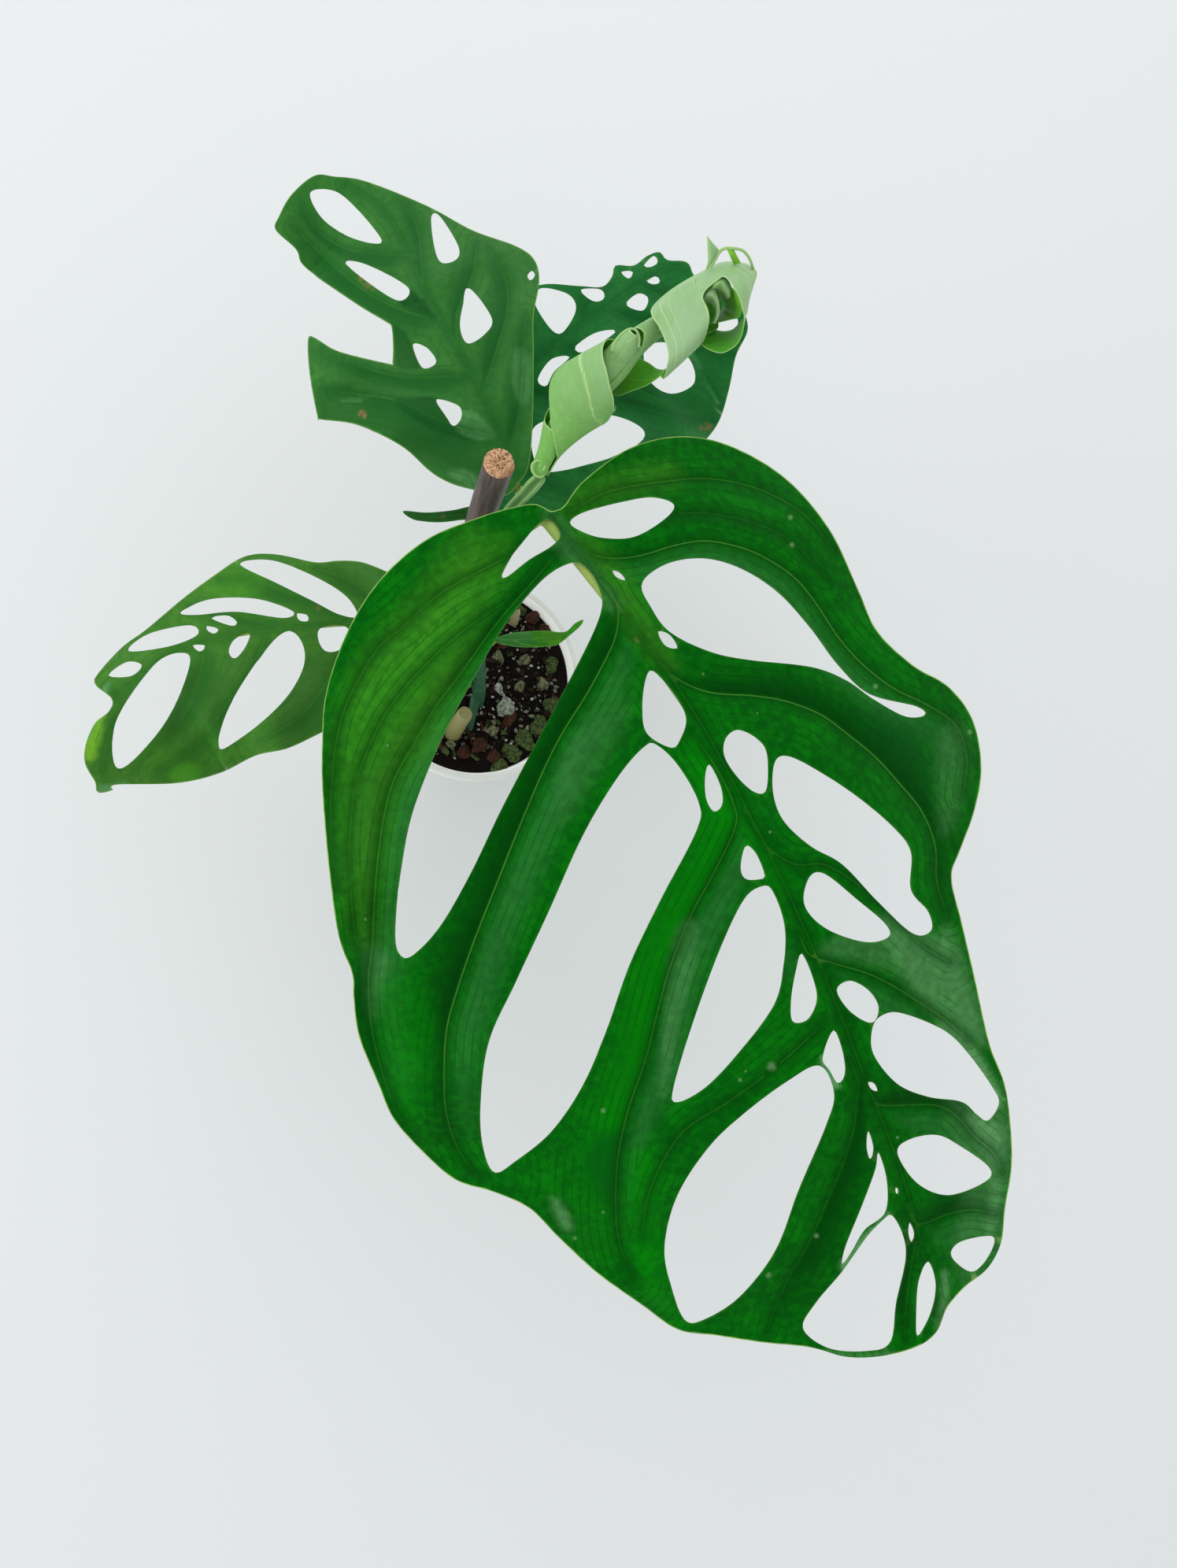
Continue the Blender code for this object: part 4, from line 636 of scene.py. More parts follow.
# Thickened edges of the roll, each a line of squares of the board and a height in millimetres.
LIPS = [
    [(696, 598, 299), (686, 606, 300), (677, 600, 301), (676, 590, 302.5), (684, 585, 303.5),
     (692, 590, 303), (690, 598, 302)],
    [(777, 446, 333.5), (781, 435, 335), (790, 424, 337), (800, 418, 338.5), (808, 420, 339),
     (812, 430, 338.5), (811, 441, 337.5)],
    [(784, 440, 333), (792, 432, 335.5), (803, 431, 337.5), (810, 437, 337.5)],
    [(812, 417, 337), (822, 409, 338.5), (834, 404, 340)],
    [(818, 434, 336.5), (827, 425, 338), (838, 418, 339.5)],
]
MOUTH_EDGE = [(902, 340, 356.5), (909, 329, 358.5), (914, 320, 360), (921, 315.5, 361),
              (932, 315.5, 361.5), (943, 318, 361), (950, 325, 360), (954, 333, 358.5),
              (957, 342, 356)]


class Value:
    """A shader value that takes part in Python arithmetic: each operation adds a Math node."""

    def __init__(self, finish, socket):
        self.finish = finish
        self.socket = socket

    def math(self, operation, first, second=0.0):
        return self.finish.node("ShaderNodeMath", {0: first, 1: second}, operation=operation)

    def __add__(self, other):
        return self.math("ADD", self, other)

    def __radd__(self, other):
        return self.math("ADD", other, self)

    def __sub__(self, other):
        return self.math("SUBTRACT", self, other)

    def __rsub__(self, other):
        return self.math("SUBTRACT", other, self)

    def __mul__(self, other):
        return self.math("MULTIPLY", self, other)

    def __rmul__(self, other):
        return self.math("MULTIPLY", other, self)

    def __truediv__(self, other):
        return self.math("DIVIDE", self, other)

    def rise(self, low, high):
        """0 at low, 1 at high, and smooth between them."""
        return self.finish.node(
            "ShaderNodeMapRange", {0: self, 1: low, 2: high, 3: 0.0, 4: 1.0},
            interpolation_type="SMOOTHSTEP")


class Finish:
    """One material, with the nodes that feed its shader."""

    def __init__(self, name, roughness=0.5, **sockets):
        self.made = bpy.data.materials.new(name)
        self.made.use_nodes = True
        self.tree = self.made.node_tree
        self.shader = self.tree.nodes["Principled BSDF"]
        self.shader.inputs["Roughness"].default_value = roughness
        for key, value in sockets.items():
            self.shader.inputs[key.replace("_", " ")].default_value = value

    def node(self, kind, sockets=None, output=0, stops=None, **settings):
        made = self.tree.nodes.new(kind)
        for key, value in settings.items():
            setattr(made, key, value)
        if stops:
            ramp = made.color_ramp
            while len(ramp.elements) < len(stops):
                ramp.elements.new(1)
            for element, (place, colour) in zip(ramp.elements, stops):
                element.position = place
                element.color = (*colour, 1)
        for key, value in (sockets or {}).items():
            self.feed(made.inputs[key], value)
        return Value(self, made.outputs[output])

    def feed(self, socket, value):
        if isinstance(value, Value):
            self.tree.links.new(value.socket, socket)
        elif socket.type == "RGBA" and len(value) == 3:
            socket.default_value = (*value, 1)
        else:
            socket.default_value = value

    def attribute(self, name):
        return self.node("ShaderNodeAttribute", output=2, attribute_name=name)

    def place(self, scale=(1, 1, 1), turn=(0, 0, 0)):
        """Object coordinates in millimetres, scaled and turned."""
        spot = self.node("ShaderNodeTexCoord", output=3)
        return self.node("ShaderNodeMapping", {
            "Vector": spot, "Scale": [part / MM for part in scale], "Rotation": turn})

    def noise(self, size, scale=(1, 1, 1), detail=2.0, rough=0.5, turn=(0, 0, 0)):
        """Noise from 0 to 1 with lumps of a size in millimetres."""
        return self.node("ShaderNodeTexNoise", {
            "Vector": self.place(scale, turn), "Scale": 1 / size, "Detail": detail,
            "Roughness": rough})

    def mix(self, factor, first, second):
        return self.node("ShaderNodeMix", {0: factor, 6: first, 7: second}, output=2,
                         data_type="RGBA", clamp_factor=True)

    def bump(self, height, depth, strength=1.0):
        """Relief with a depth in millimetres."""
        return self.node("ShaderNodeBump", {
            "Height": height, "Distance": depth * MM, "Strength": strength})

    def wear(self, colour=None, roughness=None, normal=None):
        for name, value in (("Base Color", colour), ("Roughness", roughness), ("Normal", normal)):
            if value is not None:
                self.feed(self.shader.inputs[name], value)
        return self.made


def circle(count):
    """Even turns round a circle, in radians."""
    return [2 * pi * k / count for k in range(count)]


def spline(points, closed=False, steps=8):
    """Points of a smooth curve through the given ones."""
    knots = np.array(points, float)
    if closed:
        line = np.vstack([knots[-1:], knots, knots[:2]])
    else:
        line = np.vstack([2 * knots[:1] - knots[1:2], knots, 2 * knots[-1:] - knots[-2:-1]])
    a, b, c, d = (part[:, None, :] for part in (line[:-3], line[1:-2], line[2:-1], line[3:]))
    t = (np.arange(steps) / steps)[None, :, None]
    curve = 0.5 * (2 * b + (c - a) * t + (2 * a - 5 * b + 4 * c - d) * t ** 2
                   + (3 * b - a - 3 * c + d) * t ** 3)
    curve = curve.reshape(-1, knots.shape[1])
    return curve if closed else np.vstack([curve, knots[-1:]])


def resample(curve, step, closed=False, fewest=2):
    """Even steps along a curve."""
    line = np.vstack([curve, curve[:1]]) if closed else curve
    lengths = np.concatenate([[0], np.cumsum(np.linalg.norm(np.diff(line, axis=0), axis=1))])
    count = max(fewest, ceil(lengths[-1] / step))
    wanted = lengths[-1] * np.arange(count if closed else count + 1) / count
    return np.stack([np.interp(wanted, lengths, line[:, k]) for k in range(line.shape[1])], axis=1)


def at_height(squares, heights):
    """The points that squares of the board hide at these heights above the floor."""
    across = (squares[:, 0] - BOARD_CENTRE[0]) * SQUARE
    upward = (BOARD_CENTRE[1] - squares[:, 1]) * SQUARE
    rays = np.stack([across, upward, np.full(len(across), -BOARD_DISTANCE)], axis=1)
    rays = rays @ np.array(EYE_TURN).T
    return EYE + rays * ((heights - EYE[2]) / rays[:, 2])[:, None]


def inside(points, loops):
    """Which points lie within an odd number of loops."""
    odd = np.zeros(len(points), bool)
    x, y = points[:, 0], points[:, 1]
    for loop in loops:
        for (ax, ay), (bx, by) in zip(loop, np.roll(loop, -1, axis=0)):
            if ay != by:
                odd ^= ((ay > y) != (by > y)) & (x < ax + (y - ay) / (by - ay) * (bx - ax))
    return odd


def tree_of(points):
    """A search tree of flat points."""
    tree = KDTree(len(points))
    for i, p in enumerate(points):
        tree.insert((p[0], p[1], 0), i)
    tree.balance()
    return tree


def distances(points, tree):
    """How far each flat point is from the nearest in a tree."""
    return np.array([tree.find((x, y, 0))[2] for x, y in points])


def fill(loops, lines, spacing):
    """Flat triangles inside the loops, with lines of points laid in among a hexagonal net."""
    points = [np.vstack(loops)]
    edges = []
    start = 0
    for loop in loops:
        edges += [(start + i, start + (i + 1) % len(loop)) for i in range(len(loop))]
        start += len(loop)
    keep_off = 0.6 * spacing
    rim = tree_of(points[0])
    laid = []
    for line in lines:
        clear = inside(line, loops) & (distances(line, rim) > keep_off)
        line = line[clear]
        if laid and len(line):
            line = line[distances(line, tree_of(np.vstack(laid))) > keep_off]
        if len(line):
            laid.append(line)
    low, high = points[0].min(0), points[0].max(0)
    rise = spacing * sin(pi / 3)
    rows = np.arange(ceil((high[1] - low[1]) / rise) + 1)
    columns = np.arange(ceil((high[0] - low[0]) / spacing) + 1)
    net = np.stack([low[0] + (columns[None, :] + 0.5 * (rows[:, None] % 2)) * spacing,
                    low[1] + rows[:, None] * rise + 0 * columns[None, :]], axis=2).reshape(-1, 2)
    net = net[inside(net, loops)]
    net = net[distances(net, rim) > keep_off]
    if laid:
        net = net[distances(net, tree_of(np.vstack(laid))) > keep_off]
    flat = np.vstack(points + laid + [net])
    found, _, faces, _, _, _ = delaunay_2d_cdt([Vector(p) for p in flat.tolist()], edges, [], 0, 1e-4)
    flat = np.array([(p.x, p.y) for p in found])
    faces = np.array([list(face) for face in faces if len(face) == 3])
    faces = faces[inside(flat[faces].mean(axis=1), loops)]
    used, faces = np.unique(faces, return_inverse=True)
    return flat[used], faces.reshape(-1, 3)


def face_normals(points, faces):
    """Each triangle's normal, as long as twice its area."""
    a, b, c = (points[faces[:, k]] for k in range(3))
    return np.cross(b - a, c - a)


def point_normals(points, faces):
    """Unit normals at the points of a surface."""
    flat = face_normals(points, faces)
    total = np.zeros_like(points)
    for k in range(3):
        np.add.at(total, faces[:, k], flat)
    return total / np.linalg.norm(total, axis=1)[:, None]


def rim_of(faces):
    """Directed edges that only one triangle has."""
    sides = np.vstack([faces[:, [0, 1]], faces[:, [1, 2]], faces[:, [2, 0]]])
    _, first, count = np.unique(np.sort(sides, axis=1), axis=0, return_index=True,
                                return_counts=True)
    return sides[first[count == 1]]


def thin_solid(top, bottom, faces):
    """Points and faces of a closed sheet between two faces that share their triangles."""
    count = len(top)
    rim = rim_of(faces)
    walls = np.stack([rim[:, 1], rim[:, 0], rim[:, 0] + count, rim[:, 1] + count], axis=1)
    return np.vstack([top, bottom]), faces.tolist() + (faces[:, ::-1] + count).tolist() + walls.tolist()


def add_piece(name, points, faces, finish, node, fields=None, angle=50):
    """A finished piece that stands for its solid: a mesh at the origin, riding on the one body."""
    mesh = points if isinstance(points, bpy.types.Mesh) else bpy.data.meshes.new(name)
    if mesh is not points:
        mesh.from_pydata(np.asarray(points).tolist(), [], faces)
    for key, values in (fields or {}).items():
        layer = mesh.attributes.new(key, "FLOAT", "POINT")
        layer.data.foreach_set("value", np.asarray(values, np.float32))
    mesh.shade_smooth()
    mesh.set_sharp_from_angle(angle=radians(angle))
    mesh.materials.clear()
    mesh.materials.append(finish)
    piece = bpy.data.objects.new(name, mesh)
    bpy.context.scene.collection.objects.link(piece)
    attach(piece, "root")
    if node:
        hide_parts(node)
    return piece


class Blade:
    """One leaf's form: its drawing and the height of every point in it."""

    def __init__(self, drawing, fold=1.0):
        self.drawing = drawing
        self.fold = fold
        self.line = resample(spline(drawing["midrib"]), 12)
        head = self.line[0] - self.line[2]
        tail = self.line[-1] - self.line[-3]
        self.reach = np.vstack([self.line[0] + head / np.linalg.norm(head) * 200, self.line,
                                self.line[-1] + tail / np.linalg.norm(tail) * 200])
        self.lay_veins()

    def lay_veins(self):
        """Close points along the midrib and the veins, each with what it does to the blade."""
        net = self.drawing["net"]
        midrib = (0.8, 0.12, "  ", self.line)
        veins = [midrib] + [(fold, pale, banks, spline(line))
                            for fold, pale, banks, line in self.drawing["veins"]]
        self.veins = []
        self.lines = []
        for fold, pale, banks, curve in veins:
            line = resample(curve, 2)
            share = np.linspace(0, 1, len(line))
            fade = np.clip(share * 8, 0, 1) * np.clip((1 - share) * 3.5, 0, 1)
            strength = [fold, pale] + [float(bank == tint) for bank in banks for tint in "dbs"]
            rows = np.hstack([line, headings(line), fade[:, None] * np.array(strength)])
            self.veins.append((rows, tree_of(line)))
            self.lines.append(resample(curve, net))
        for line in list(self.lines):
            ahead = headings(line)
            aside = np.stack([-ahead[:, 1], ahead[:, 0]], axis=1) * net * 0.75
            self.lines += [line + aside, line - aside]

    def vein_field(self, squares):
        """Vein distance in squares, fold depth, paleness, and the banks' painted shade, light and sheen."""
        least = np.full(len(squares), np.inf)
        valley, pale, total = (np.zeros(len(squares)) for _ in range(3))
        tints = np.zeros((len(squares), 3))
        for rows, tree in self.veins:
            near = rows[[tree.find((x, y, 0))[1] for x, y in squares]]
            off = squares - near[:, :2]
            along = (off * near[:, 2:4]).sum(axis=1)
            across = near[:, 2] * off[:, 1] - near[:, 3] * off[:, 0]
            length = np.hypot(np.maximum(0, np.abs(along) - 1), across)
            weight = 1 / (length + 3) ** 3
            fade = np.clip(1.25 - length / 50, 0, 1) * np.clip(np.abs(across) / 3, 0, 1)
            side = np.where(across[:, None] >= 0, near[:, 6:9], near[:, 9:12])
            tints += side * (fade * weight)[:, None]
            total += weight
            least = np.minimum(least, length)
            valley = np.maximum(valley, near[:, 4] * np.clip(1 - length / 42, 0, 1) ** 1.5)
            pale = np.maximum(pale, near[:, 5] * np.clip(1.6 - length / 5, 0, 1))
        return least, valley, pale, tints / total[:, None]

    def nearest(self, squares):
        """Place along the midrib from 0 to 1, and distance to its left (-) or right (+)."""
        best = np.full(len(squares), np.inf)
        place = np.zeros(len(squares))
        side = np.zeros(len(squares))
        for i, (a, b) in enumerate(zip(self.reach, self.reach[1:])):
            run = b - a
            t = np.clip((squares - a) @ run / (run @ run), 0, 1)
            off = squares - (a + t[:, None] * run)
            length = np.hypot(off[:, 0], off[:, 1])
            closer = length < best
            best[closer] = length[closer]
            place[closer] = i - 1 + t[closer]
            side[closer] = (run[0] * off[:, 1] - run[1] * off[:, 0])[closer]
        along = np.clip(place / (len(self.line) - 1), 0, 1)
        return along, np.where(side < 0, best, -best)

    def height(self, squares):
        """Height of the upper face above the floor: the midrib's, less the fall to the side."""
        along, off = self.nearest(squares)
        heights = np.array(self.drawing["heights"])
        span = along * (len(heights) - 1)
        i = np.minimum(span.astype(int), len(heights) - 2)
        t = span - i
        t = t * t * (3 - 2 * t) * 0.35 + t * 0.65
        ridge = heights[i] * (1 - t) + heights[i + 1] * t
        halves = np.array(self.drawing["halves"])[(off >= 0).astype(int)]
        part = np.abs(off) / halves[:, 0]
        count, swing = self.drawing["waves"]
        wave = swing * np.sin(2 * pi * count * along + (off >= 0)) * np.minimum(part, 1.2) ** 2
        return (ridge - halves[:, 1] * part ** 1.7 + wave) * MM

    def relief(self, squares, length, valley):
        """The folds along the veins and the slight quilting between them."""
        groove = np.clip(1 - length / 5, 0, 1)
        x, y = squares[:, 0], squares[:, 1]
        quilt = np.sin(x / 17 + y / 41) * np.sin(y / 23 - x / 53) + 0.6 * np.sin(x / 9 - y / 14)
        depth = -2.2 * valley - 0.25 * groove + 0.12 * quilt * np.clip(length / 12, 0, 1)
        return depth * self.fold * MM

    def point(self, squares, lift=0.0):
        return at_height(squares, self.height(squares) + lift)

    def normal(self, squares):
        step = 4
        right, left = (self.point(squares + (k, 0)) for k in (step, -step))
        lower, upper = (self.point(squares + (0, k)) for k in (step, -step))
        normal = np.cross(lower - upper, right - left)
        return normal / np.linalg.norm(normal, axis=1)[:, None]


def spot_points(spots):
    """A middle and a ring of points for each pale spot."""
    return [np.array([(x, y)] + [(x + radius * cos(a), y + radius * sin(a)) for a in circle(8)],
                     float)
            for x, y, radius in spots]


def spot_field(squares, spots):
    """How strongly each point takes a pale spot, from 1 in its middle to 0 at its edge."""
    field = np.zeros(len(squares))
    for x, y, radius in spots:
        field = np.maximum(field, 1 - np.hypot(squares[:, 0] - x, squares[:, 1] - y) / radius)
    return np.maximum(field, 0)


def patch_field(squares, patches, kind):
    """How strongly each point takes one kind of patch, which fades over its soft edge."""
    field = np.zeros(len(squares))
    for tint, strength, soft, outline in patches:
        if tint != kind:
            continue
        loop = resample(spline(outline, True), 4, True)
        depth = distances(squares, tree_of(loop))
        depth = np.where(inside(squares, [loop]), depth, -depth)
        field = np.maximum(field, strength * np.clip(0.5 + depth / soft, 0, 1))
    return field


def lip_field(squares, outer, inner):
    """How pale the margin is: most round the outline, less round a hole, not on a thin bridge."""
    round_outline, round_hole = 0.9, 0.06
    reach, bridge = 18, 6
    margin = np.minimum(outer, inner)
    near = tree_of(squares)
    room = np.array([max(margin[found[1]] for found in near.find_range((x, y, 0), reach))
                     if m < 5 else FAR for (x, y), m in zip(squares, margin)])
    lip = np.where(outer < inner, round_outline, round_hole)
    return lip * np.clip((room - bridge) / 5, 0, 1)


def make_blade(name, drawing, sizes, finish):
    """A blade with its holes, folds, veins and rounded margin."""
    blade = Blade(drawing, sizes.fold)
    step = drawing["net"] * 0.8
    loops = [resample(spline(drawing["outline"], True), step, True)]
    loops += [resample(spline(hole, True), step, True, fewest=10) for hole in drawing["holes"]]
    flat, faces = fill(loops, spot_points(drawing["spots"]) + blade.lines, drawing["net"])
    close = [resample(loop, 1.0, True) for loop in loops]
    outer = distances(flat, tree_of(close[0]))
    inner = distances(flat, tree_of(np.vstack(close[1:]))) if close[1:] else outer + FAR
    margin = np.minimum(outer, inner)
    length, valley, pale, tints = blade.vein_field(flat)
    top = blade.point(flat, blade.relief(flat, length, valley))
    if face_normals(top, faces)[:, 2].sum() < 0:
        faces = faces[:, ::-1]
    normals = point_normals(top, faces)
    rib = np.clip(1 - length / 6, 0, 1) * 0.25
    thick = sizes.blade * (0.45 + 0.55 * np.clip(margin / 5, 0, 1) + rib)
    top = top - normals * (thick * 0.25 * np.clip(1 - margin / 2.5, 0, 1))[:, None]
    points, solid = thin_solid(top, top - normals * thick[:, None], faces)
    fields = {
        "margin": margin * LEAF_SQUARE_MM,
        "lip": lip_field(flat, outer, inner),
        "vein": length * LEAF_SQUARE_MM,
        "line": pale,
        "painted_shade": tints[:, 0],
        "bright": tints[:, 1],
        "sheen": tints[:, 2],
        "spot": spot_field(flat, drawing["spots"]),
    }
    for kind in PATCH_TINTS:
        fields[kind] = patch_field(flat, drawing["patches"], kind)
    fields = {key: np.concatenate([values, values]) for key, values in fields.items()}
    fields["under"] = np.repeat([0.0, 1.0], len(flat))
    add_piece(name + "_blade", points, solid, finish, name, fields)
    return blade


def leaf_finish(name, drawing, colours):
    """Satin mottled green, painted shade, light and sheen either side of a vein, and a pale margin."""
    finish = Finish(name, 0.4, IOR=1.4, Specular_IOR_Level=drawing["gloss"])
    greens = drawing["greens"]
    kinds = [patch[0] for patch in drawing["patches"]]
    margin, lip, vein, line, spot, under = (
        finish.attribute(key) for key in ("margin", "lip", "vein", "line", "spot", "under"))
    cloud = finish.noise(16, detail=2)
    mottle = finish.noise(3.2, detail=3, rough=0.55)
    cells = finish.noise(0.6, detail=2)
    blend = cloud.rise(0.42, 0.62) * 0.4 + mottle.rise(0.38, 0.66) * 0.6
    colour = finish.mix(blend, greens["mid"], greens["bright"])
    # Painted sheen: a paler, bluer green on the banks marked s, growing away from the vein.
    sheen = finish.attribute("sheen") * vein.rise(0.2, 9) * (mottle * 0.7 + 0.5)
    colour = finish.mix(sheen, colour, greens["sheen"])
    # Painted light: the banks marked b turn a vivid green.
    colour = finish.mix(finish.attribute("bright") * 0.75, colour, greens["vivid"])
    # Painted shade: the banks marked d turn a dark green.
    colour = finish.mix(finish.attribute("painted_shade") * 0.8, colour, greens["painted_shade"])
    # Patches of painted light, painted shade and painted sheen, and of the leaf's own tints.
    for kind, tint in PATCH_TINTS.items():
        if kind in kinds:
            grain = mottle.rise(0.3, 0.6) if kind == "dry" else 0.4 + mottle
            colour = finish.mix(finish.attribute(kind) * grain, colour, tint)
    # Painted shade in the crease along each vein.
    colour = finish.mix((1 - vein.rise(0.2, 4.5)) * 0.5, colour, greens["painted_shade"])
    # Painted shade in fine pleats parallel to the veins, patchy with the cloud.
    painted_pleat_shade = vein.math("SINE", vein * 2.3).rise(0.55, 1.0) * cloud.rise(0.35, 0.6)
    colour = finish.mix(painted_pleat_shade * 0.35, colour, greens["painted_shade"])
    crease = (1 - vein.rise(0.06, 0.3)) * line
    colour = finish.mix(crease * drawing["lines"], colour, tuple(colours.vein))
    colour = finish.mix(spot.rise(0.0, 0.8) * 0.4, colour, tuple(colours.fleck))
    edge = (1 - margin.rise(0.12, 0.55)) * lip * (0.6 + finish.noise(30).rise(0.35, 0.6) * 0.4)
    colour = finish.mix(edge * drawing["pale_edge"], colour, tuple(colours.margin))
    back = finish.mix(mottle, (0.09, 0.24, 0.07), (0.13, 0.3, 0.1))
    back = finish.mix((1 - vein.rise(0.3, 1.0)) * 0.6, back, (0.22, 0.36, 0.14))
    colour = finish.mix(under, colour, back)
    gloss = 0.36 + mottle * 0.12 + under * 0.2
    return finish.wear(colour, gloss, finish.bump(cells * 0.5 + mottle, 0.05, 0.6))


def stalk_finish(name, low, high, streak=(0.35, 0.35, 0.06)):
    """A smooth stalk with long streaks, which grows paler upwards, with painted shade in its groove."""
    finish = Finish(name, 0.38, Specular_IOR_Level=0.15)
    grain = finish.noise(1.2, scale=(1, 1, 0.12), detail=3)
    broad = finish.noise(18, detail=2)
    colour = finish.mix(finish.attribute("along"), low, high)
    colour = finish.mix(grain.rise(0.4, 0.75) * 0.35 + broad * 0.15, colour, streak)
    # Painted shade darkens the groove.
    colour = finish.mix(finish.attribute("groove") * 0.7, colour, [part * 0.3 for part in low])
    return finish.wear(colour, 0.36 + grain * 0.15, finish.bump(grain, 0.08, 0.5))


def section(middle, side, up, half, low, top, groove):
    """A stalk's section: round below, flatter above with a shallow groove along it."""
    ring = []
    for turn in circle(STALK_SIDES):
        s, u = cos(turn), sin(turn)
        lift = u * (top if u > 0 else low)
        if u > 0:
            lift -= groove * max(0.0, 1 - abs(s) / 0.55)
        ring.append(middle + side * (s * half) + up * (lift * half))
    return ring


def headings(line):
    """Unit directions along a line."""
    ahead = np.gradient(line, axis=0)
    return ahead / np.linalg.norm(ahead, axis=1)[:, None]


def loft(rings):
    """Points and faces through rings of points, with a fan at each end."""
    points = np.array([p for ring in rings for p in ring])
    count = len(rings[0])
    faces = []
    for k in range(len(rings) - 1):
        for i in range(count):
            j = (i + 1) % count
            low = k * count
            faces.append((low + i, low + j, low + count + j, low + count + i))
    ends = [np.mean(rings[0], axis=0), np.mean(rings[-1], axis=0)]
    first, last = len(points), len(points) + 1
    top = (len(rings) - 1) * count
    for i in range(count):
        j = (i + 1) % count
        faces.append((j, i, first))
        faces.append((top + i, top + j, last))
    return np.vstack([points, ends]), faces


def add_loft(name, rings, finish, node, fields, angle=60):
    """A piece through rings of points; its fields have the points' values, then the two ends'."""
    points, faces = loft(rings)
    add_piece(name, points, outward(points, faces), finish, node, fields, angle)


def round_rings(values, sides, ends=(0, 1)):
    """A field for a loft whose rings have one value each."""
    return np.concatenate([np.repeat(values, sides), ends])


def unit(v):
    return v / np.linalg.norm(v)


def outward(points, faces):
    """Turns a closed solid's faces outward if they point in."""
    volume = 0.0
    for face in faces:
        a = points[face[0]]
        for b, c in zip(face[1:-1], face[2:]):
            volume += np.dot(a, np.cross(points[b], points[c]))
    return faces if volume > 0 else [face[::-1] for face in faces]


def make_stalk(name, blade, finish):
    """A leaf's stalk, which bends under the blade's base and runs on as its keel to the tip."""
    wide, thin, clear = blade.drawing["rib"]
    foot, route = STALKS[name]
    line = resample(blade.line, 9)
    line = line[:int(len(line) * blade.drawing["keel"])]
    normals = blade.normal(line)
    ahead = headings(line)
    sides = blade.point(line + np.stack([-ahead[:, 1], ahead[:, 0]], axis=1)) - blade.point(line)
    length, valley, _, _ = blade.vein_field(line)
    centres = blade.point(line, blade.relief(line, length, valley))
    keel = []
    for i, share in enumerate(np.linspace(0, 1, len(line))):
        half = (thin + (wide - thin) * (1 - share) ** 2) / 2 * MM
        depth = BLADE + clear * MM + 2.2 * half
        top = centres[i] - normals[i] * 0.45 * MM
        keel.append(section(top - normals[i] * half, unit(sides[i]), normals[i], half * 1.05,
                            (depth - half) / half, 0.75, 0.0))
    half = wide / 2 * MM
    heading = unit(centres[1] - centres[0])
    start = blade.point(line[:1])[0] - normals[0] * (BLADE + clear * MM + half * 1.1)
    bend = foot * 1.7 * MM
    knee = start - heading * bend - normals[0] * bend * 0.8
    path = spline(np.vstack([np.array(route) * MM, knee]), steps=10)
    rings = stalk_rings(path, unit(sides[0]), normals[0], foot, wide * 0.6, 0.22)
    places = np.concatenate([np.linspace(0, 1, len(rings)), np.ones(len(keel))])
    along = round_rings(places, STALK_SIDES)
    add_loft(name + "_petiole", rings + keel, finish, name + "_stalk",
             {"along": along, "groove": groove_field(len(along), len(rings))})


def stalk_rings(path, side, above, foot, head, groove):
    """Sections from a stalk's sheathed foot to its swollen joint under the blade."""
    rings = []
    turn = 0
    for i in range(len(path) - 1, -1, -1):
        forward = unit(path[min(i + 1, len(path) - 1)] - path[max(i - 1, 0)])
        side = unit(side - forward * side.dot(forward))
        up = np.cross(side, forward)
        turn = turn or (1 if up.dot(above) > 0 else -1)
        place = i / (len(path) - 1)
        radius = (foot * (1 - place) + head * place) * MM
        radius *= 1 + 0.16 * max(0.0, 1 - abs(place - 0.9) / 0.12)
        radius *= 1 + 0.3 * max(0.0, 1 - place / 0.06)
        rings.append(section(path[i], side, up * turn, radius, 1.0, 0.92, groove))
    return rings[::-1]


def groove_field(count, rings):
    """Marks the grooved points of a stalk's sections."""
    field = np.zeros(count)
    for k, turn in enumerate(circle(STALK_SIDES)):
        if sin(turn) > 0:
            field[k:STALK_SIDES * rings:STALK_SIDES] = max(0.0, 1 - abs(cos(turn)) / 0.6)
    return field


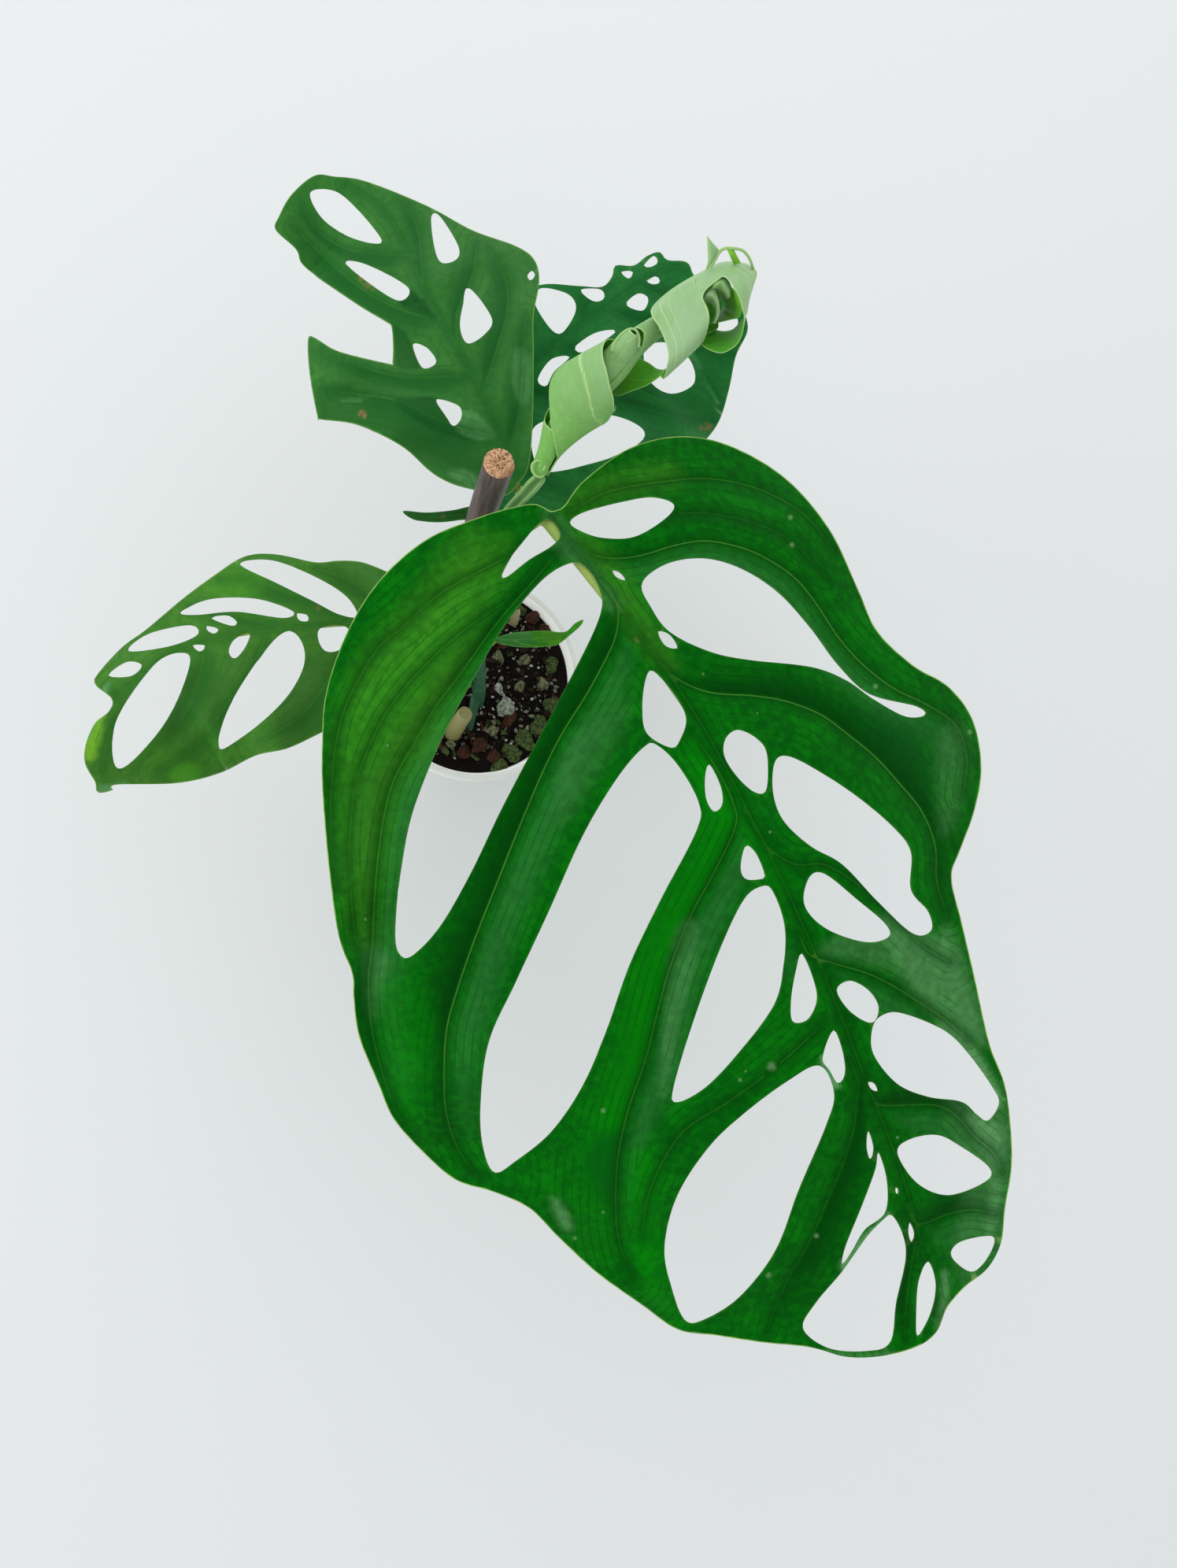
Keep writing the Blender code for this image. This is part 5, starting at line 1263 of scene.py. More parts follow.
class Roll:
    """A bent axis with a radius along it, and a frame carried along it without twist."""

    fine = 8

    def __init__(self, knots):
        knots = np.array(knots, float)
        places = np.column_stack([at_height(knots[:, :2], knots[:, 2] * MM), knots[:, 3] * MM])
        line = spline(places, steps=self.fine)
        self.axis, self.radii = line[:, :3], line[:, 3]
        self.ahead = np.array([unit(self.axis[min(i + 1, len(line) - 1)] - self.axis[max(i - 1, 0)])
                               for i in range(len(line))])
        across = unit(np.cross(self.ahead[0], (0, 0, 1)))
        frames = []
        for ahead in self.ahead:
            across = unit(across - ahead * across.dot(ahead))
            frames.append(across)
        self.across = np.array(frames)

    def points(self, knots, turns, spreads):
        """Points at places along the roll, turned from its lower right over the front."""
        span = np.clip(knots * self.fine, 0, len(self.axis) - 1.001)
        i = span.astype(int)
        part = (span - i)[:, None]
        across = self.across[i] * (1 - part) + self.across[i + 1] * part
        across /= np.linalg.norm(across, axis=1)[:, None]
        ahead = self.ahead[i] * (1 - part) + self.ahead[i + 1] * part
        upward = np.cross(across, ahead)
        upward /= np.linalg.norm(upward, axis=1)[:, None]
        radius = (self.radii[i][:, None] * (1 - part) + self.radii[i + 1][:, None] * part)
        middle = self.axis[i] * (1 - part) + self.axis[i + 1] * part
        spoke = across * np.cos(turns)[:, None] + upward * np.sin(turns)[:, None]
        return middle + spoke * radius * spreads[:, None]

    def wound(self, winding, step, parts):
        """A grid of points on a wound strip, a point inside each, and turns and places."""
        rows = resample(spline(winding, steps=6), step)
        share = np.linspace(0, 1, parts + 1)
        turns = np.repeat(rows[:, 0], parts + 1)
        places = (rows[:, 1:2] + (rows[:, 2:3] - rows[:, 1:2]) * share[None, :]).ravel()
        spreads = np.repeat(rows[:, 3], parts + 1)
        grid = self.points(places, np.radians(turns), spreads)
        inner = self.points(places, np.radians(turns), spreads * 0.5)
        return grid.reshape(len(rows), parts + 1, 3), inner, turns, places


def drawn(rows, step, parts):
    """A smooth grid of points through rows that are drawn on the board."""
    rows = [resample(spline([*row], steps=6), 1e9, fewest=parts) for row in rows]
    count = len(rows)
    lines = spline(np.array(rows).reshape(count, -1), steps=step)
    squares = lines.reshape(-1, 3)
    return at_height(squares[:, :2], squares[:, 2] * MM).reshape(len(lines), parts + 1, 3)


def sheet(grid, thick, outside, line=None, tone=0.0):
    """A closed thin strip over a grid, with what its finish needs: points, faces and fields."""
    rows, count = grid.shape[:2]
    middle = grid.reshape(-1, 3)
    index = np.arange(rows * count).reshape(rows, count)
    a, b, c, d = index[:-1, :-1], index[:-1, 1:], index[1:, 1:], index[1:, :-1]
    faces = np.vstack([np.stack([a, b, c], 2).reshape(-1, 3), np.stack([a, c, d], 2).reshape(-1, 3)])
    normals = point_normals(middle, faces)
    if (outside(middle) * normals)[:2 * count].sum() < 0:
        faces, normals = faces[:, ::-1], -normals
    reach = np.cumsum(np.linalg.norm(np.diff(grid, axis=1, prepend=grid[:, :1]), axis=2), axis=1)
    edge = np.minimum(reach, reach[:, -1:] - reach).ravel() / MM
    half = thick / 2 * (0.5 + 0.5 * np.clip(edge / 1.5, 0, 1))[:, None]
    points, solid = thin_solid(middle + normals * half, middle - normals * half, faces)
    fields = {"edge": edge, "line": np.full(len(middle), 9.0) if line is None else line,
              "tone": np.full(len(middle), float(tone))}
    fields = {key: np.tile(values, 2) for key, values in fields.items()}
    fields["inner"] = np.repeat([0.0, 1.0], len(middle))
    return points, solid, fields


def joined(parts):
    """Several closed solids as one set of points, faces and fields."""
    points, faces, fields = [], [], {}
    count = 0
    for some, corners, marks in parts:
        points.append(some)
        faces += [[i + count for i in face] for face in corners]
        count += len(some)
        for key, values in marks.items():
            fields.setdefault(key, []).append(values)
    return np.vstack(points), faces, {key: np.concatenate(values) for key, values in fields.items()}


def new_leaf_finish(name, colours):
    """The pale soft underside outside, the shiny fresh upper face inside, and faint veins."""
    finish = Finish(name, 0.42, IOR=1.4, Specular_IOR_Level=0.2)
    edge, line, inner, tone = (finish.attribute(key) for key in ("edge", "line", "inner", "tone"))
    cloud = finish.noise(9, detail=3)
    mottle = finish.noise(1.6, detail=3)
    fibres = finish.noise(1.4, scale=(1, 0.12, 1), detail=2, turn=(0, 0, 0.5))
    spot = finish.node("ShaderNodeTexCoord", output=3)
    upward = finish.node("ShaderNodeSeparateXYZ", {0: spot}, output=2)
    colour = finish.mix(upward.rise(0.305, 0.352), tuple(colours.roll), (0.32, 0.5, 0.26))
    colour = finish.mix(cloud.rise(0.35, 0.65) * 0.35, colour, (0.17, 0.4, 0.09))
    colour = finish.mix(fibres.rise(0.45, 0.75) * 0.3, colour, (0.36, 0.58, 0.25))
    colour = finish.mix(tone * 0.6, colour, (0.12, 0.32, 0.05))
    colour = finish.mix((1 - line.rise(0.2, 0.7)) * 0.75, colour, (0.48, 0.7, 0.3))
    colour = finish.mix((1 - edge.rise(0.2, 0.7)) * 0.6, colour, (0.46, 0.68, 0.27))
    fresh = finish.mix(mottle, (0.05, 0.3, 0.02), (0.11, 0.42, 0.03))
    fresh = finish.mix(tone * cloud.rise(0.3, 0.6), fresh, (0.2, 0.5, 0.04))
    fresh = finish.mix((1 - line.rise(0.15, 0.5)) * 0.6, fresh, (0.2, 0.42, 0.05))
    fresh = finish.mix((1 - edge.rise(0.15, 0.5)) * 0.6, fresh, (0.25, 0.48, 0.1))
    colour = finish.mix(inner, colour, fresh)
    return finish.wear(colour, 0.4 + mottle * 0.15, finish.bump(mottle + fibres, 0.08, 0.5))


def make_new_leaf(sizes, colours):
    """The newest leaf: the strip that winds up from its base, its core and its open mouth."""
    finish = new_leaf_finish("new_leaf_skin", colours)
    thick = sizes.rolled
    roll = Roll(ROLL)
    parts = []
    for winding, tone in ((WINDING, 0.15), (BACK_WINDING, 0.0)):
        grid, inner, turns, places = roll.wound(winding, 4, 30)
        vein = np.interp(turns, *zip(*LONG_VEIN))
        line = np.abs(places - vein) * 10 if winding is WINDING else None
        parts.append(sheet(grid, thick, lambda points, inner=inner: points - inner, line, tone))
    grid = drawn(UPPER_BAND, 6, 30)
    share = np.tile(np.linspace(0, 1, 31), len(grid))
    line = np.minimum(np.abs(share - 0.2), np.abs(share - 0.36)) * 22 + 0.25
    middle = roll.axis[BAND_MIDDLE]
    parts.append(sheet(grid, thick, lambda points: points - middle, line))
    for facing, tone, rows in MOUTH_PARTS:
        parts.append(sheet(drawn(rows, 5, 10), thick * 0.8,
                           lambda points, facing=facing: facing * (EYE - points), tone=tone))
    for edge in [MOUTH_EDGE] + LIPS:
        squares = spline(edge, steps=6)
        path = at_height(squares[:, :2], squares[:, 2] * MM)
        points, faces = loft(tube(path, ([0, 1], [0.5 * MM, 0.4 * MM]), 8))
        marks = {"edge": 0.3, "line": 9.0, "tone": 0.4, "inner": 0.0}
        parts.append((points, outward(points, faces),
                      {key: np.full(len(points), value) for key, value in marks.items()}))
    points, faces, fields = joined(parts)
    add_piece("new_leaf_roll", points, faces, finish, "new_leaf", fields)

    parts = []
    for knots, winding, tone in ((CORE, CORE_WINDINGS[0], 0.15), (CORE, CORE_WINDINGS[1], 0.45),
                                 (HOOD, HOOD_WINDING, 0.1)):
        grid, inner, turns, places = Roll(knots).wound(winding, 6, 20)
        parts.append(sheet(grid, thick, lambda points, inner=inner: points - inner, tone=tone))
    points, faces, fields = joined(parts)
    add_piece("new_leaf_core_roll", points, faces, finish, "new_leaf_core", fields)


def turned(profile, segments):
    """A closed solid turned round the vertical axis from a closed profile of (radius, height)."""
    shape = bmesh.new()
    rings = []
    for radius, height in profile:
        if radius == 0:
            rings.append([shape.verts.new((0, 0, height))])
            continue
        rings.append([shape.verts.new((radius * cos(a), radius * sin(a), height))
                      for a in circle(segments)])
    for a, b in zip(rings, rings[1:] + rings[:1]):
        if len(a) == 1 and len(b) == 1:
            continue
        for i in range(segments):
            j = (i + 1) % segments
            corners = []
            for v in (a[i % len(a)], a[j % len(a)], b[j % len(b)], b[i % len(b)]):
                if v not in corners:
                    corners.append(v)
            shape.faces.new(corners)
    bmesh.ops.recalc_face_normals(shape, faces=shape.faces)
    mesh = bpy.data.meshes.new("turned")
    shape.to_mesh(mesh)
    shape.free()
    return mesh


def wall_radius(height, wall):
    """Inner radius of the pot at a height."""
    rim_lip = 2 * MM
    slope = (POT_RIM_RADIUS - rim_lip - POT_FOOT_RADIUS) / POT_HEIGHT
    return POT_FOOT_RADIUS + slope * height - wall


def rounded(profile, radius, steps=4):
    """A closed profile with its corners rounded."""
    smooth = []
    count = len(profile)
    for i, (x, y) in enumerate(profile):
        if x == 0:
            smooth.append((x, y))
            continue
        p = Vector((x, y))
        before = Vector(profile[i - 1]) - p
        after = Vector(profile[(i + 1) % count]) - p
        reach = min(radius, before.length * 0.4, after.length * 0.4)
        a = p + before.normalized() * reach
        b = p + after.normalized() * reach
        for k in range(steps + 1):
            t = k / steps
            q = a.lerp(p, t).lerp(p.lerp(b, t), t)
            smooth.append((q.x, q.y))
    return smooth


def make_pot(sizes, colours):
    """The tapered pot with its stiff rim and six drain holes, its inner wall lit by a painted glow."""
    wall = sizes.pot_wall
    inner = wall_radius(POT_HEIGHT, wall)
    rim_low = POT_HEIGHT - RIM_DEPTH
    profile = [
        (0, 0), (POT_FOOT_RADIUS, 0),
        (wall_radius(rim_low, wall) + wall, rim_low), (POT_RIM_RADIUS - 0.7 * MM, rim_low),
        (POT_RIM_RADIUS, POT_HEIGHT), (inner, POT_HEIGHT),
        (wall_radius(POT_FLOOR, wall), POT_FLOOR), (0, POT_FLOOR),
    ]
    mesh = turned(rounded(profile, 1.1 * MM), POT_SEGMENTS)
    body = bpy.data.objects.new("pot_body", mesh)
    bpy.context.scene.collection.objects.link(body)
    cutters = []
    for turn in circle(DRAIN_COUNT):
        turn += radians(3)
        shape = bmesh.new()
        bmesh.ops.create_cone(shape, cap_ends=True, segments=32, radius1=DRAIN_RADIUS,
                              radius2=DRAIN_RADIUS, depth=3 * POT_FLOOR)
        bmesh.ops.translate(shape, verts=shape.verts, vec=(
            DRAIN_PLACE * cos(turn), DRAIN_PLACE * sin(turn), POT_FLOOR / 2))
        drill = bpy.data.meshes.new("drill")
        shape.to_mesh(drill)
        shape.free()
        cutter = bpy.data.objects.new("drill", drill)
        bpy.context.scene.collection.objects.link(cutter)
        cutters.append(cutter)
        hole = body.modifiers.new("hole", "BOOLEAN")
        hole.solver = "EXACT"
        hole.object = cutter
    mesh = evaluated_mesh(body)
    for old in cutters + [body]:
        bpy.data.objects.remove(old, do_unlink=True)
    finish = Finish("pot_plastic", 0.32)
    film = finish.noise(26, detail=4)
    grain = finish.noise(0.9, detail=2)
    colour = finish.mix(film.rise(0.45, 0.75) * 0.5, tuple(colours.pot), (0.82, 0.81, 0.77))
    spot = finish.node("ShaderNodeTexCoord", output=3)
    x, y, z = (finish.node("ShaderNodeSeparateXYZ", {0: spot}, output=k) for k in range(3))
    # Painted light: the inner wall above the soil glows, lifting the shade that falls inside the rim.
    within = 1 - (x * x + y * y).rise((inner - 0.1 * MM) ** 2, (inner + 0.5 * MM) ** 2)
    painted_glow = within * z.rise(SOIL_HEIGHT - 4 * MM, SOIL_HEIGHT)
    finish.feed(finish.shader.inputs["Emission Color"], finish.mix(painted_glow, (0, 0, 0), (0.3, 0.3, 0.29)))
    finish.shader.inputs["Emission Strength"].default_value = 1.0
    finish.wear(colour, 0.28 + film * 0.16, finish.bump(grain, 0.03, 0.4))
    add_piece("pot_moulding", mesh, None, finish.made, "pot", angle=35)


def evaluated_mesh(target):
    """The plain mesh that an object's modifiers make."""
    shape = target.evaluated_get(bpy.context.evaluated_depsgraph_get())
    return bpy.data.meshes.new_from_object(shape)


def soil_lumps():
    """The top's radius and the same lumps as on the solid of the soil."""
    draw = random.Random(7)
    top_radius = wall_radius(SOIL_HEIGHT, SOIL_WALL) - GAP
    lumps = []
    for _ in range(70):
        turn = draw.uniform(0, 2 * pi)
        out = top_radius * 0.93 * draw.uniform(0, 1) ** 0.5
        lumps.append((out * cos(turn), out * sin(turn), draw.uniform(3, 7) * MM))
    return top_radius, lumps


def soil_top(points, top_radius, lumps):
    """Height of the soil at each point."""
    rise = np.zeros(len(points))
    for cx, cy, size in lumps:
        near = 1 - ((points[:, 0] - cx) ** 2 + (points[:, 1] - cy) ** 2) / size ** 2
        rise = np.maximum(rise, size * 0.45 * np.sqrt(np.maximum(near, 0)))
    x, y = points[:, 0] / MM, points[:, 1] / MM
    rough = 0.35 * np.sin(x * 1.9 + np.sin(y * 1.3)) * np.sin(y * 2.3 + np.sin(x * 1.7)) * MM
    edge = np.clip((top_radius - np.hypot(points[:, 0], points[:, 1])) / (4 * MM), 0, 1)
    return SOIL_HEIGHT - 1 * MM * edge + (rise * 0.8 + rough) * edge


def make_soil(sizes, colours):
    """The dark potting mix, with what is scattered on it and the larger lumps."""
    top_radius, lumps = soil_lumps()
    ring = [np.array([(top_radius * cos(a), top_radius * sin(a)) for a in circle(120)])]
    flat, faces = fill(ring, [], 1.7 * MM)
    if face_normals(np.column_stack([flat, np.zeros(len(flat))]), faces)[:, 2].sum() < 0:
        faces = faces[:, ::-1]
    top = np.column_stack([flat, soil_top(flat, top_radius, lumps)])
    base = POT_FLOOR + GAP
    shrink = (wall_radius(base, SOIL_WALL) - GAP) / top_radius
    bottom = np.column_stack([flat * shrink, np.full(len(flat), base)])
    points, solid = thin_solid(top, bottom, faces)
    ground = Finish("soil_ground", 0.95, Specular_IOR_Level=0.1)
    crumbs = ground.noise(1.3, detail=4)
    colour = ground.mix(crumbs.rise(0.4, 0.7), tuple(colours.soil), (0.012, 0.008, 0.006))
    ground.wear(colour, None, ground.bump(crumbs, 0.8, 1.0))
    add_piece("soil_ground", points, solid, ground.made, "soil", angle=60)
    patch = np.hypot(flat[:, 0], flat[:, 1]) < top_radius - 3.2 * MM
    kept = faces[patch[faces].all(axis=1)]
    for name, (seed, key, share, size, shape, low, high) in SOIL_LAYERS.items():
        finish = Finish(name, 0.85, Specular_IOR_Level=0.12)
        grit = finish.noise(0.7, detail=3)
        colour = finish.mix(finish.attribute("tint"), low, high)
        colour = finish.mix(grit.rise(0.45, 0.75) * 0.5, colour, [part * 0.35 for part in high])
        finish.wear(colour, None, finish.bump(grit, 0.35, 0.8))
        count = getattr(sizes, key) * share
        scatter(name, top, kept, count, size * MM, shape, seed, finish.made)
    make_chunks(top_radius, lumps)


def make_chunks(top_radius, lumps):
    """The larger lumps that lie on the soil."""
    chunks = Finish("soil_chunks", 0.85, Specular_IOR_Level=0.12)
    grit = chunks.noise(1.5, detail=5, rough=0.7)
    count = len(CHUNK_TINTS)
    colour = chunks.node("ShaderNodeValToRGB", {0: chunks.attribute("kind") / count + 0.01},
                         stops=[(k / count, tint) for k, tint in enumerate(CHUNK_TINTS)])
    colour.socket.node.color_ramp.interpolation = "CONSTANT"
    colour = chunks.mix(grit.rise(0.42, 0.6) * 0.75, colour, (0.012, 0.009, 0.006))
    chunks.wear(colour, None, chunks.bump(grit, 0.5, 0.8))
    draw = random.Random(11)
    shape = bmesh.new()
    kinds = []
    for x, y, size, flat_share, kind in CHUNKS:
        radius = size * MM
        place = at_height(np.array([(x, y)], float), SOIL_HEIGHT)[0]
        place[2] = soil_top(place[None, :], top_radius, lumps)[0] + radius * 0.25
        made = bmesh.ops.create_icosphere(shape, subdivisions=3, radius=radius)["verts"]
        phase = [draw.uniform(0, 6) for _ in range(3)]
        turn = Matrix.Rotation(draw.uniform(0, pi), 3, "Z")
        for corner in made:
            p = corner.co / radius
            ripple = sin(3.7 * p.y + phase[1]) * sin(4.3 * p.z + phase[2])
            swell = 1 + 0.2 * (sin(3.1 * p.x + phase[0]) + ripple)
            p = turn @ Vector((p.x * 1.25, p.y, p.z * flat_share)) * swell * radius
            corner.co = Vector(place) + p
        kinds += [float(kind)] * len(made)
    mesh = bpy.data.meshes.new("chunks")
    shape.to_mesh(mesh)
    shape.free()
    add_piece("soil_chunks", mesh, None, chunks.made, None, {"kind": kinds}, 60)


def geometry_tree(name, inputs):
    """An empty Geometry Nodes tree with named inputs."""
    tree = bpy.data.node_groups.new(name, "GeometryNodeTree")
    tree.interface.new_socket("Geometry", in_out="INPUT", socket_type="NodeSocketGeometry")
    tree.interface.new_socket("Geometry", in_out="OUTPUT", socket_type="NodeSocketGeometry")
    for label, kind in inputs:
        tree.interface.new_socket(label, in_out="INPUT", socket_type=kind)
    return tree


def scatter_tree():
    """Lumpy grains thrown over a surface, each with its own size, turn and tint."""
    tree = geometry_tree("scattered_grains", [
        ("Spacing", "NodeSocketFloat"), ("Density", "NodeSocketFloat"), ("Shape", "NodeSocketVector"),
        ("Size", "NodeSocketFloat"), ("Seed", "NodeSocketInt"), ("Material", "NodeSocketMaterial")])
    nodes, links = tree.nodes, tree.links
    given = nodes.new("NodeGroupInput")
    result = nodes.new("NodeGroupOutput")

    def add(kind, sockets=None, **settings):
        made = nodes.new(kind)
        for key, value in settings.items():
            setattr(made, key, value)
        for key, value in (sockets or {}).items():
            if isinstance(value, bpy.types.NodeSocket):
                links.new(value, made.inputs[key])
            else:
                made.inputs[key].default_value = value
        return made

    spread = add("GeometryNodeDistributePointsOnFaces", {
        "Mesh": given.outputs["Geometry"], "Distance Min": given.outputs["Spacing"],
        "Density Max": given.outputs["Density"], "Seed": given.outputs["Seed"]},
        distribute_method="POISSON")
    tint = add("FunctionNodeRandomValue", {"Seed": given.outputs["Seed"]}, data_type="FLOAT")
    marked = add("GeometryNodeStoreNamedAttribute", {
        "Geometry": spread.outputs["Points"], "Name": "tint", "Value": tint.outputs[1]},
        data_type="FLOAT", domain="POINT")
    ball = add("GeometryNodeMeshUVSphere", {"Segments": 8, "Rings": 5, "Radius": 1.0})
    swell = add("FunctionNodeRandomValue", {2: 0.45, 3: 1.0, "Seed": given.outputs["Seed"]},
                data_type="FLOAT")
    turn = add("FunctionNodeRandomValue", {0: (-0.6, -0.6, 0.0), 1: (0.6, 0.6, 6.283)},
               data_type="FLOAT_VECTOR")
    wide = add("ShaderNodeVectorMath", {0: given.outputs["Shape"], 3: given.outputs["Size"]},
               operation="SCALE")
    sized = add("ShaderNodeVectorMath", {0: wide.outputs[0], 3: swell.outputs[1]},
                operation="SCALE")
    placed = add("GeometryNodeInstanceOnPoints", {
        "Points": marked.outputs["Geometry"], "Instance": ball.outputs["Mesh"],
        "Rotation": turn.outputs[0], "Scale": sized.outputs[0]})
    real = add("GeometryNodeRealizeInstances", {"Geometry": placed.outputs["Instances"]})
    spot = add("GeometryNodeInputPosition")
    lumps = add("ShaderNodeTexVoronoi", {"Vector": spot.outputs[0], "Scale": 520.0}, feature="F1")
    normal = add("GeometryNodeInputNormal")
    depth = add("ShaderNodeMath", {0: lumps.outputs["Distance"], 1: given.outputs["Size"]},
                operation="MULTIPLY")
    inward = add("ShaderNodeMath", {0: depth.outputs[0], 1: -0.75}, operation="MULTIPLY")
    shift = add("ShaderNodeVectorMath", {0: normal.outputs[0], 3: inward.outputs[0]},
                operation="SCALE")
    moved = add("GeometryNodeSetPosition", {
        "Geometry": real.outputs["Geometry"], "Offset": shift.outputs[0]})
    painted = add("GeometryNodeSetMaterial", {
        "Geometry": moved.outputs["Geometry"], "Material": given.outputs["Material"]})
    links.new(painted.outputs["Geometry"], result.inputs["Geometry"])
    return tree


def scatter(name, top, faces, count, size, shape, seed, finish):
    """Runs the scatter over a patch of ground and keeps the plain mesh it makes."""
    tree = bpy.data.node_groups.get("scattered_grains") or scatter_tree()
    mesh = bpy.data.meshes.new("patch")
    mesh.from_pydata(top.tolist(), [], faces.tolist())
    patch = bpy.data.objects.new("patch", mesh)
    bpy.context.scene.collection.objects.link(patch)
    growth = patch.modifiers.new("growth", "NODES")
    growth.node_group = tree
    values = {"Spacing": size * 1.1, "Density": count / SOIL_AREA, "Shape": shape, "Size": size,
              "Seed": seed, "Material": finish}
    for socket in tree.interface.items_tree:
        if socket.in_out == "INPUT" and socket.name in values:
            growth[socket.identifier] = values[socket.name]
    made = evaluated_mesh(patch)
    bpy.data.objects.remove(patch, do_unlink=True)
    add_piece(name, made, None, finish, None, angle=35)


def tube(route, radii, sides, wobble=None):
    """Round sections along a route of points in metres."""
    across = np.array((1.0, 0, 0))
    rings = []
    for i, p in enumerate(route):
        ahead = unit(route[min(i + 1, len(route) - 1)] - route[max(i - 1, 0)])
        across = unit(across - ahead * across.dot(ahead))
        other = np.cross(ahead, across)
        place = i / (len(route) - 1)
        ring = []
        for a in circle(sides):
            radius = np.interp(place, *radii) * (1 + (wobble(place, a) if wobble else 0))
            ring.append(p + (across * cos(a) + other * sin(a)) * radius)
        rings.append(ring)
    return rings


def make_stem():
    """The climbing stem with its joints and root, the stub of an old one and a dried sheath."""
    finish = stalk_finish("stem_skin", (0.02, 0.085, 0.045), (0.03, 0.13, 0.06), (0.06, 0.13, 0.07))
    path = spline(np.array(STEM_ROUTE) * MM, steps=24)
    joints = (0.42, 0.56, 0.68, 0.82, 0.95)

    def ringed(place, turn):
        near = min(abs(place - joint) for joint in joints)
        return 0.16 * max(0.0, 1 - near / 0.018) - 0.05 * (0.018 < near < 0.03)

    radii = ([0, 1], [STEM_RADIUS, STEM_RADIUS * 0.85])
    along = round_rings(np.linspace(0, 1, len(path)), STEM_SIDES)
    add_loft("climbing_stem", tube(path, radii, STEM_SIDES, ringed), finish, "stem",
             {"along": along})
    path = spline(np.array(ROOT_ROUTE) * MM, steps=10)
    radii = ([0, 1], [2.6 * MM, 1.9 * MM])
    along = round_rings(np.linspace(0.5, 0, len(path)), ROOT_SIDES, (0.5, 0))
    add_loft("stem_root", tube(path, radii, ROOT_SIDES), finish, None, {"along": along})

    bark = stalk_finish("stub_skin", (0.2, 0.2, 0.07), (0.32, 0.32, 0.14), (0.3, 0.22, 0.1))
    path = spline(np.array(STUB_ROUTE) * MM, steps=16)

    def scarred(place, turn):
        return 0.1 * max(0.0, 1 - abs(place - 0.7) / 0.03) + 0.03 * sin(3 * turn + 9 * place)

    radii = ([0, 0.94, 1], [4.2 * MM, 3.9 * MM, 3.4 * MM])
    along = round_rings(np.linspace(0, 1, len(path)) ** 4, STEM_SIDES)
    add_loft("old_stub", tube(path, radii, STEM_SIDES, scarred), bark, "stub",
             {"along": along})

    paper = stalk_finish("dry_sheath_skin", (0.34, 0.3, 0.14), (0.5, 0.48, 0.3), (0.3, 0.2, 0.08))
    rings = []
    places = np.linspace(0, 1, SHEATH_ROWS)
    for place in places:
        middle = np.array(SHEATH_FOOT) * MM + np.array((-1.5 * place, 1.2 * place ** 2, 36 * place)) * MM
        half = (2.7 - 1.1 * place - 0.9 * max(0, place - 0.85) / 0.15) * MM
        front = [middle + np.array((half * part, -1.1 * MM * (1 - part ** 2)
                                    + 0.12 * MM * cos(9 * part), 0))
                 for part in np.linspace(-1, 1, SHEATH_PARTS)]
        rings.append(front + [p + np.array((0, 0.5 * MM, 0)) for p in front[::-1]])
    add_loft("papery_sheath", rings, paper, "dry_sheath",
             {"along": round_rings(places, 2 * SHEATH_PARTS)})


def make_stake(colours):
    """The dark stake with a fibrous, freshly cut top."""
    draw = random.Random(3)
    rings = []
    foot = np.array(STAKE_FOOT)
    depth = STAKE_TOP - STAKE_FOOT.z
    phases = [draw.uniform(0, 2 * pi) for _ in range(4)]
    for place in np.concatenate([np.linspace(0, 0.985, 60), [0.992, 0.997]]):
        ring = []
        for a in circle(STAKE_SIDES):
            ridge = 0.012 * sin(7 * a + phases[0] + 2 * place) + 0.01 * sin(13 * a + phases[1])
            knot = 0.02 * sin(3 * a + 11 * place + phases[2]) * sin(17 * place)
            radius = STAKE_RADIUS * (0.985 - 0.02 * place + (ridge + knot) * 0.6)
            ring.append(foot + np.array((radius * cos(a), radius * sin(a), depth * place)))
        rings.append(ring)
    bark_rings = len(rings)
    for share in (0.97, 0.9, 0.8, 0.69, 0.57, 0.45, 0.33, 0.21, 0.1):
        ring = []
        for a in circle(STAKE_SIDES):
            radius = STAKE_RADIUS * 0.965 * share
            torn = 0.45 * sin(9 * a + 31 * share) * sin(5 * a - 23 * share)
            rough = (torn + draw.uniform(-0.3, 0.3)) * MM
            rough -= max(0.0, share * cos(a + 0.9) - 0.55) * 6 * MM
            ring.append(foot + np.array((radius * cos(a), radius * sin(a),
                                         depth - 0.5 * MM + rough * min(1.0, share * 3))))
        rings.append(ring)
    finish = Finish("stake_wood", 0.5, Specular_IOR_Level=0.2)
    fibre = finish.noise(0.9, scale=(1, 1, 0.05), detail=4)
    patch = finish.noise(9, scale=(1, 1, 0.3), detail=3)
    bark = finish.mix(fibre.rise(0.35, 0.7), tuple(colours.stake), (0.12, 0.075, 0.068))
    bark = finish.mix(patch.rise(0.5, 0.8) * 0.4, bark, (0.03, 0.02, 0.02))
    pores = finish.noise(0.85, detail=3, rough=0.7)
    wood = finish.mix(pores.rise(0.41, 0.47), (0.09, 0.028, 0.012), (0.8, 0.45, 0.25))
    wood = finish.mix(finish.noise(0.35, detail=2).rise(0.5, 0.65) * 0.7, wood, (0.9, 0.64, 0.44))
    top = finish.attribute("cut")
    colour = finish.mix(top, bark, wood)
    height = fibre + pores * top * 3
    finish.wear(colour, 0.42 + top * 0.4, finish.bump(height, 0.3, 0.8))
    cut = round_rings(np.arange(len(rings)) >= bark_rings, STAKE_SIDES)
    add_loft("wooden_stake", rings, finish.made, "stake", {"cut": cut}, 50)


def colour_property(name, description, default):
    return bpy.props.FloatVectorProperty(name=name, description=description, subtype="COLOR",
                                         size=3, min=0, max=1, default=default)


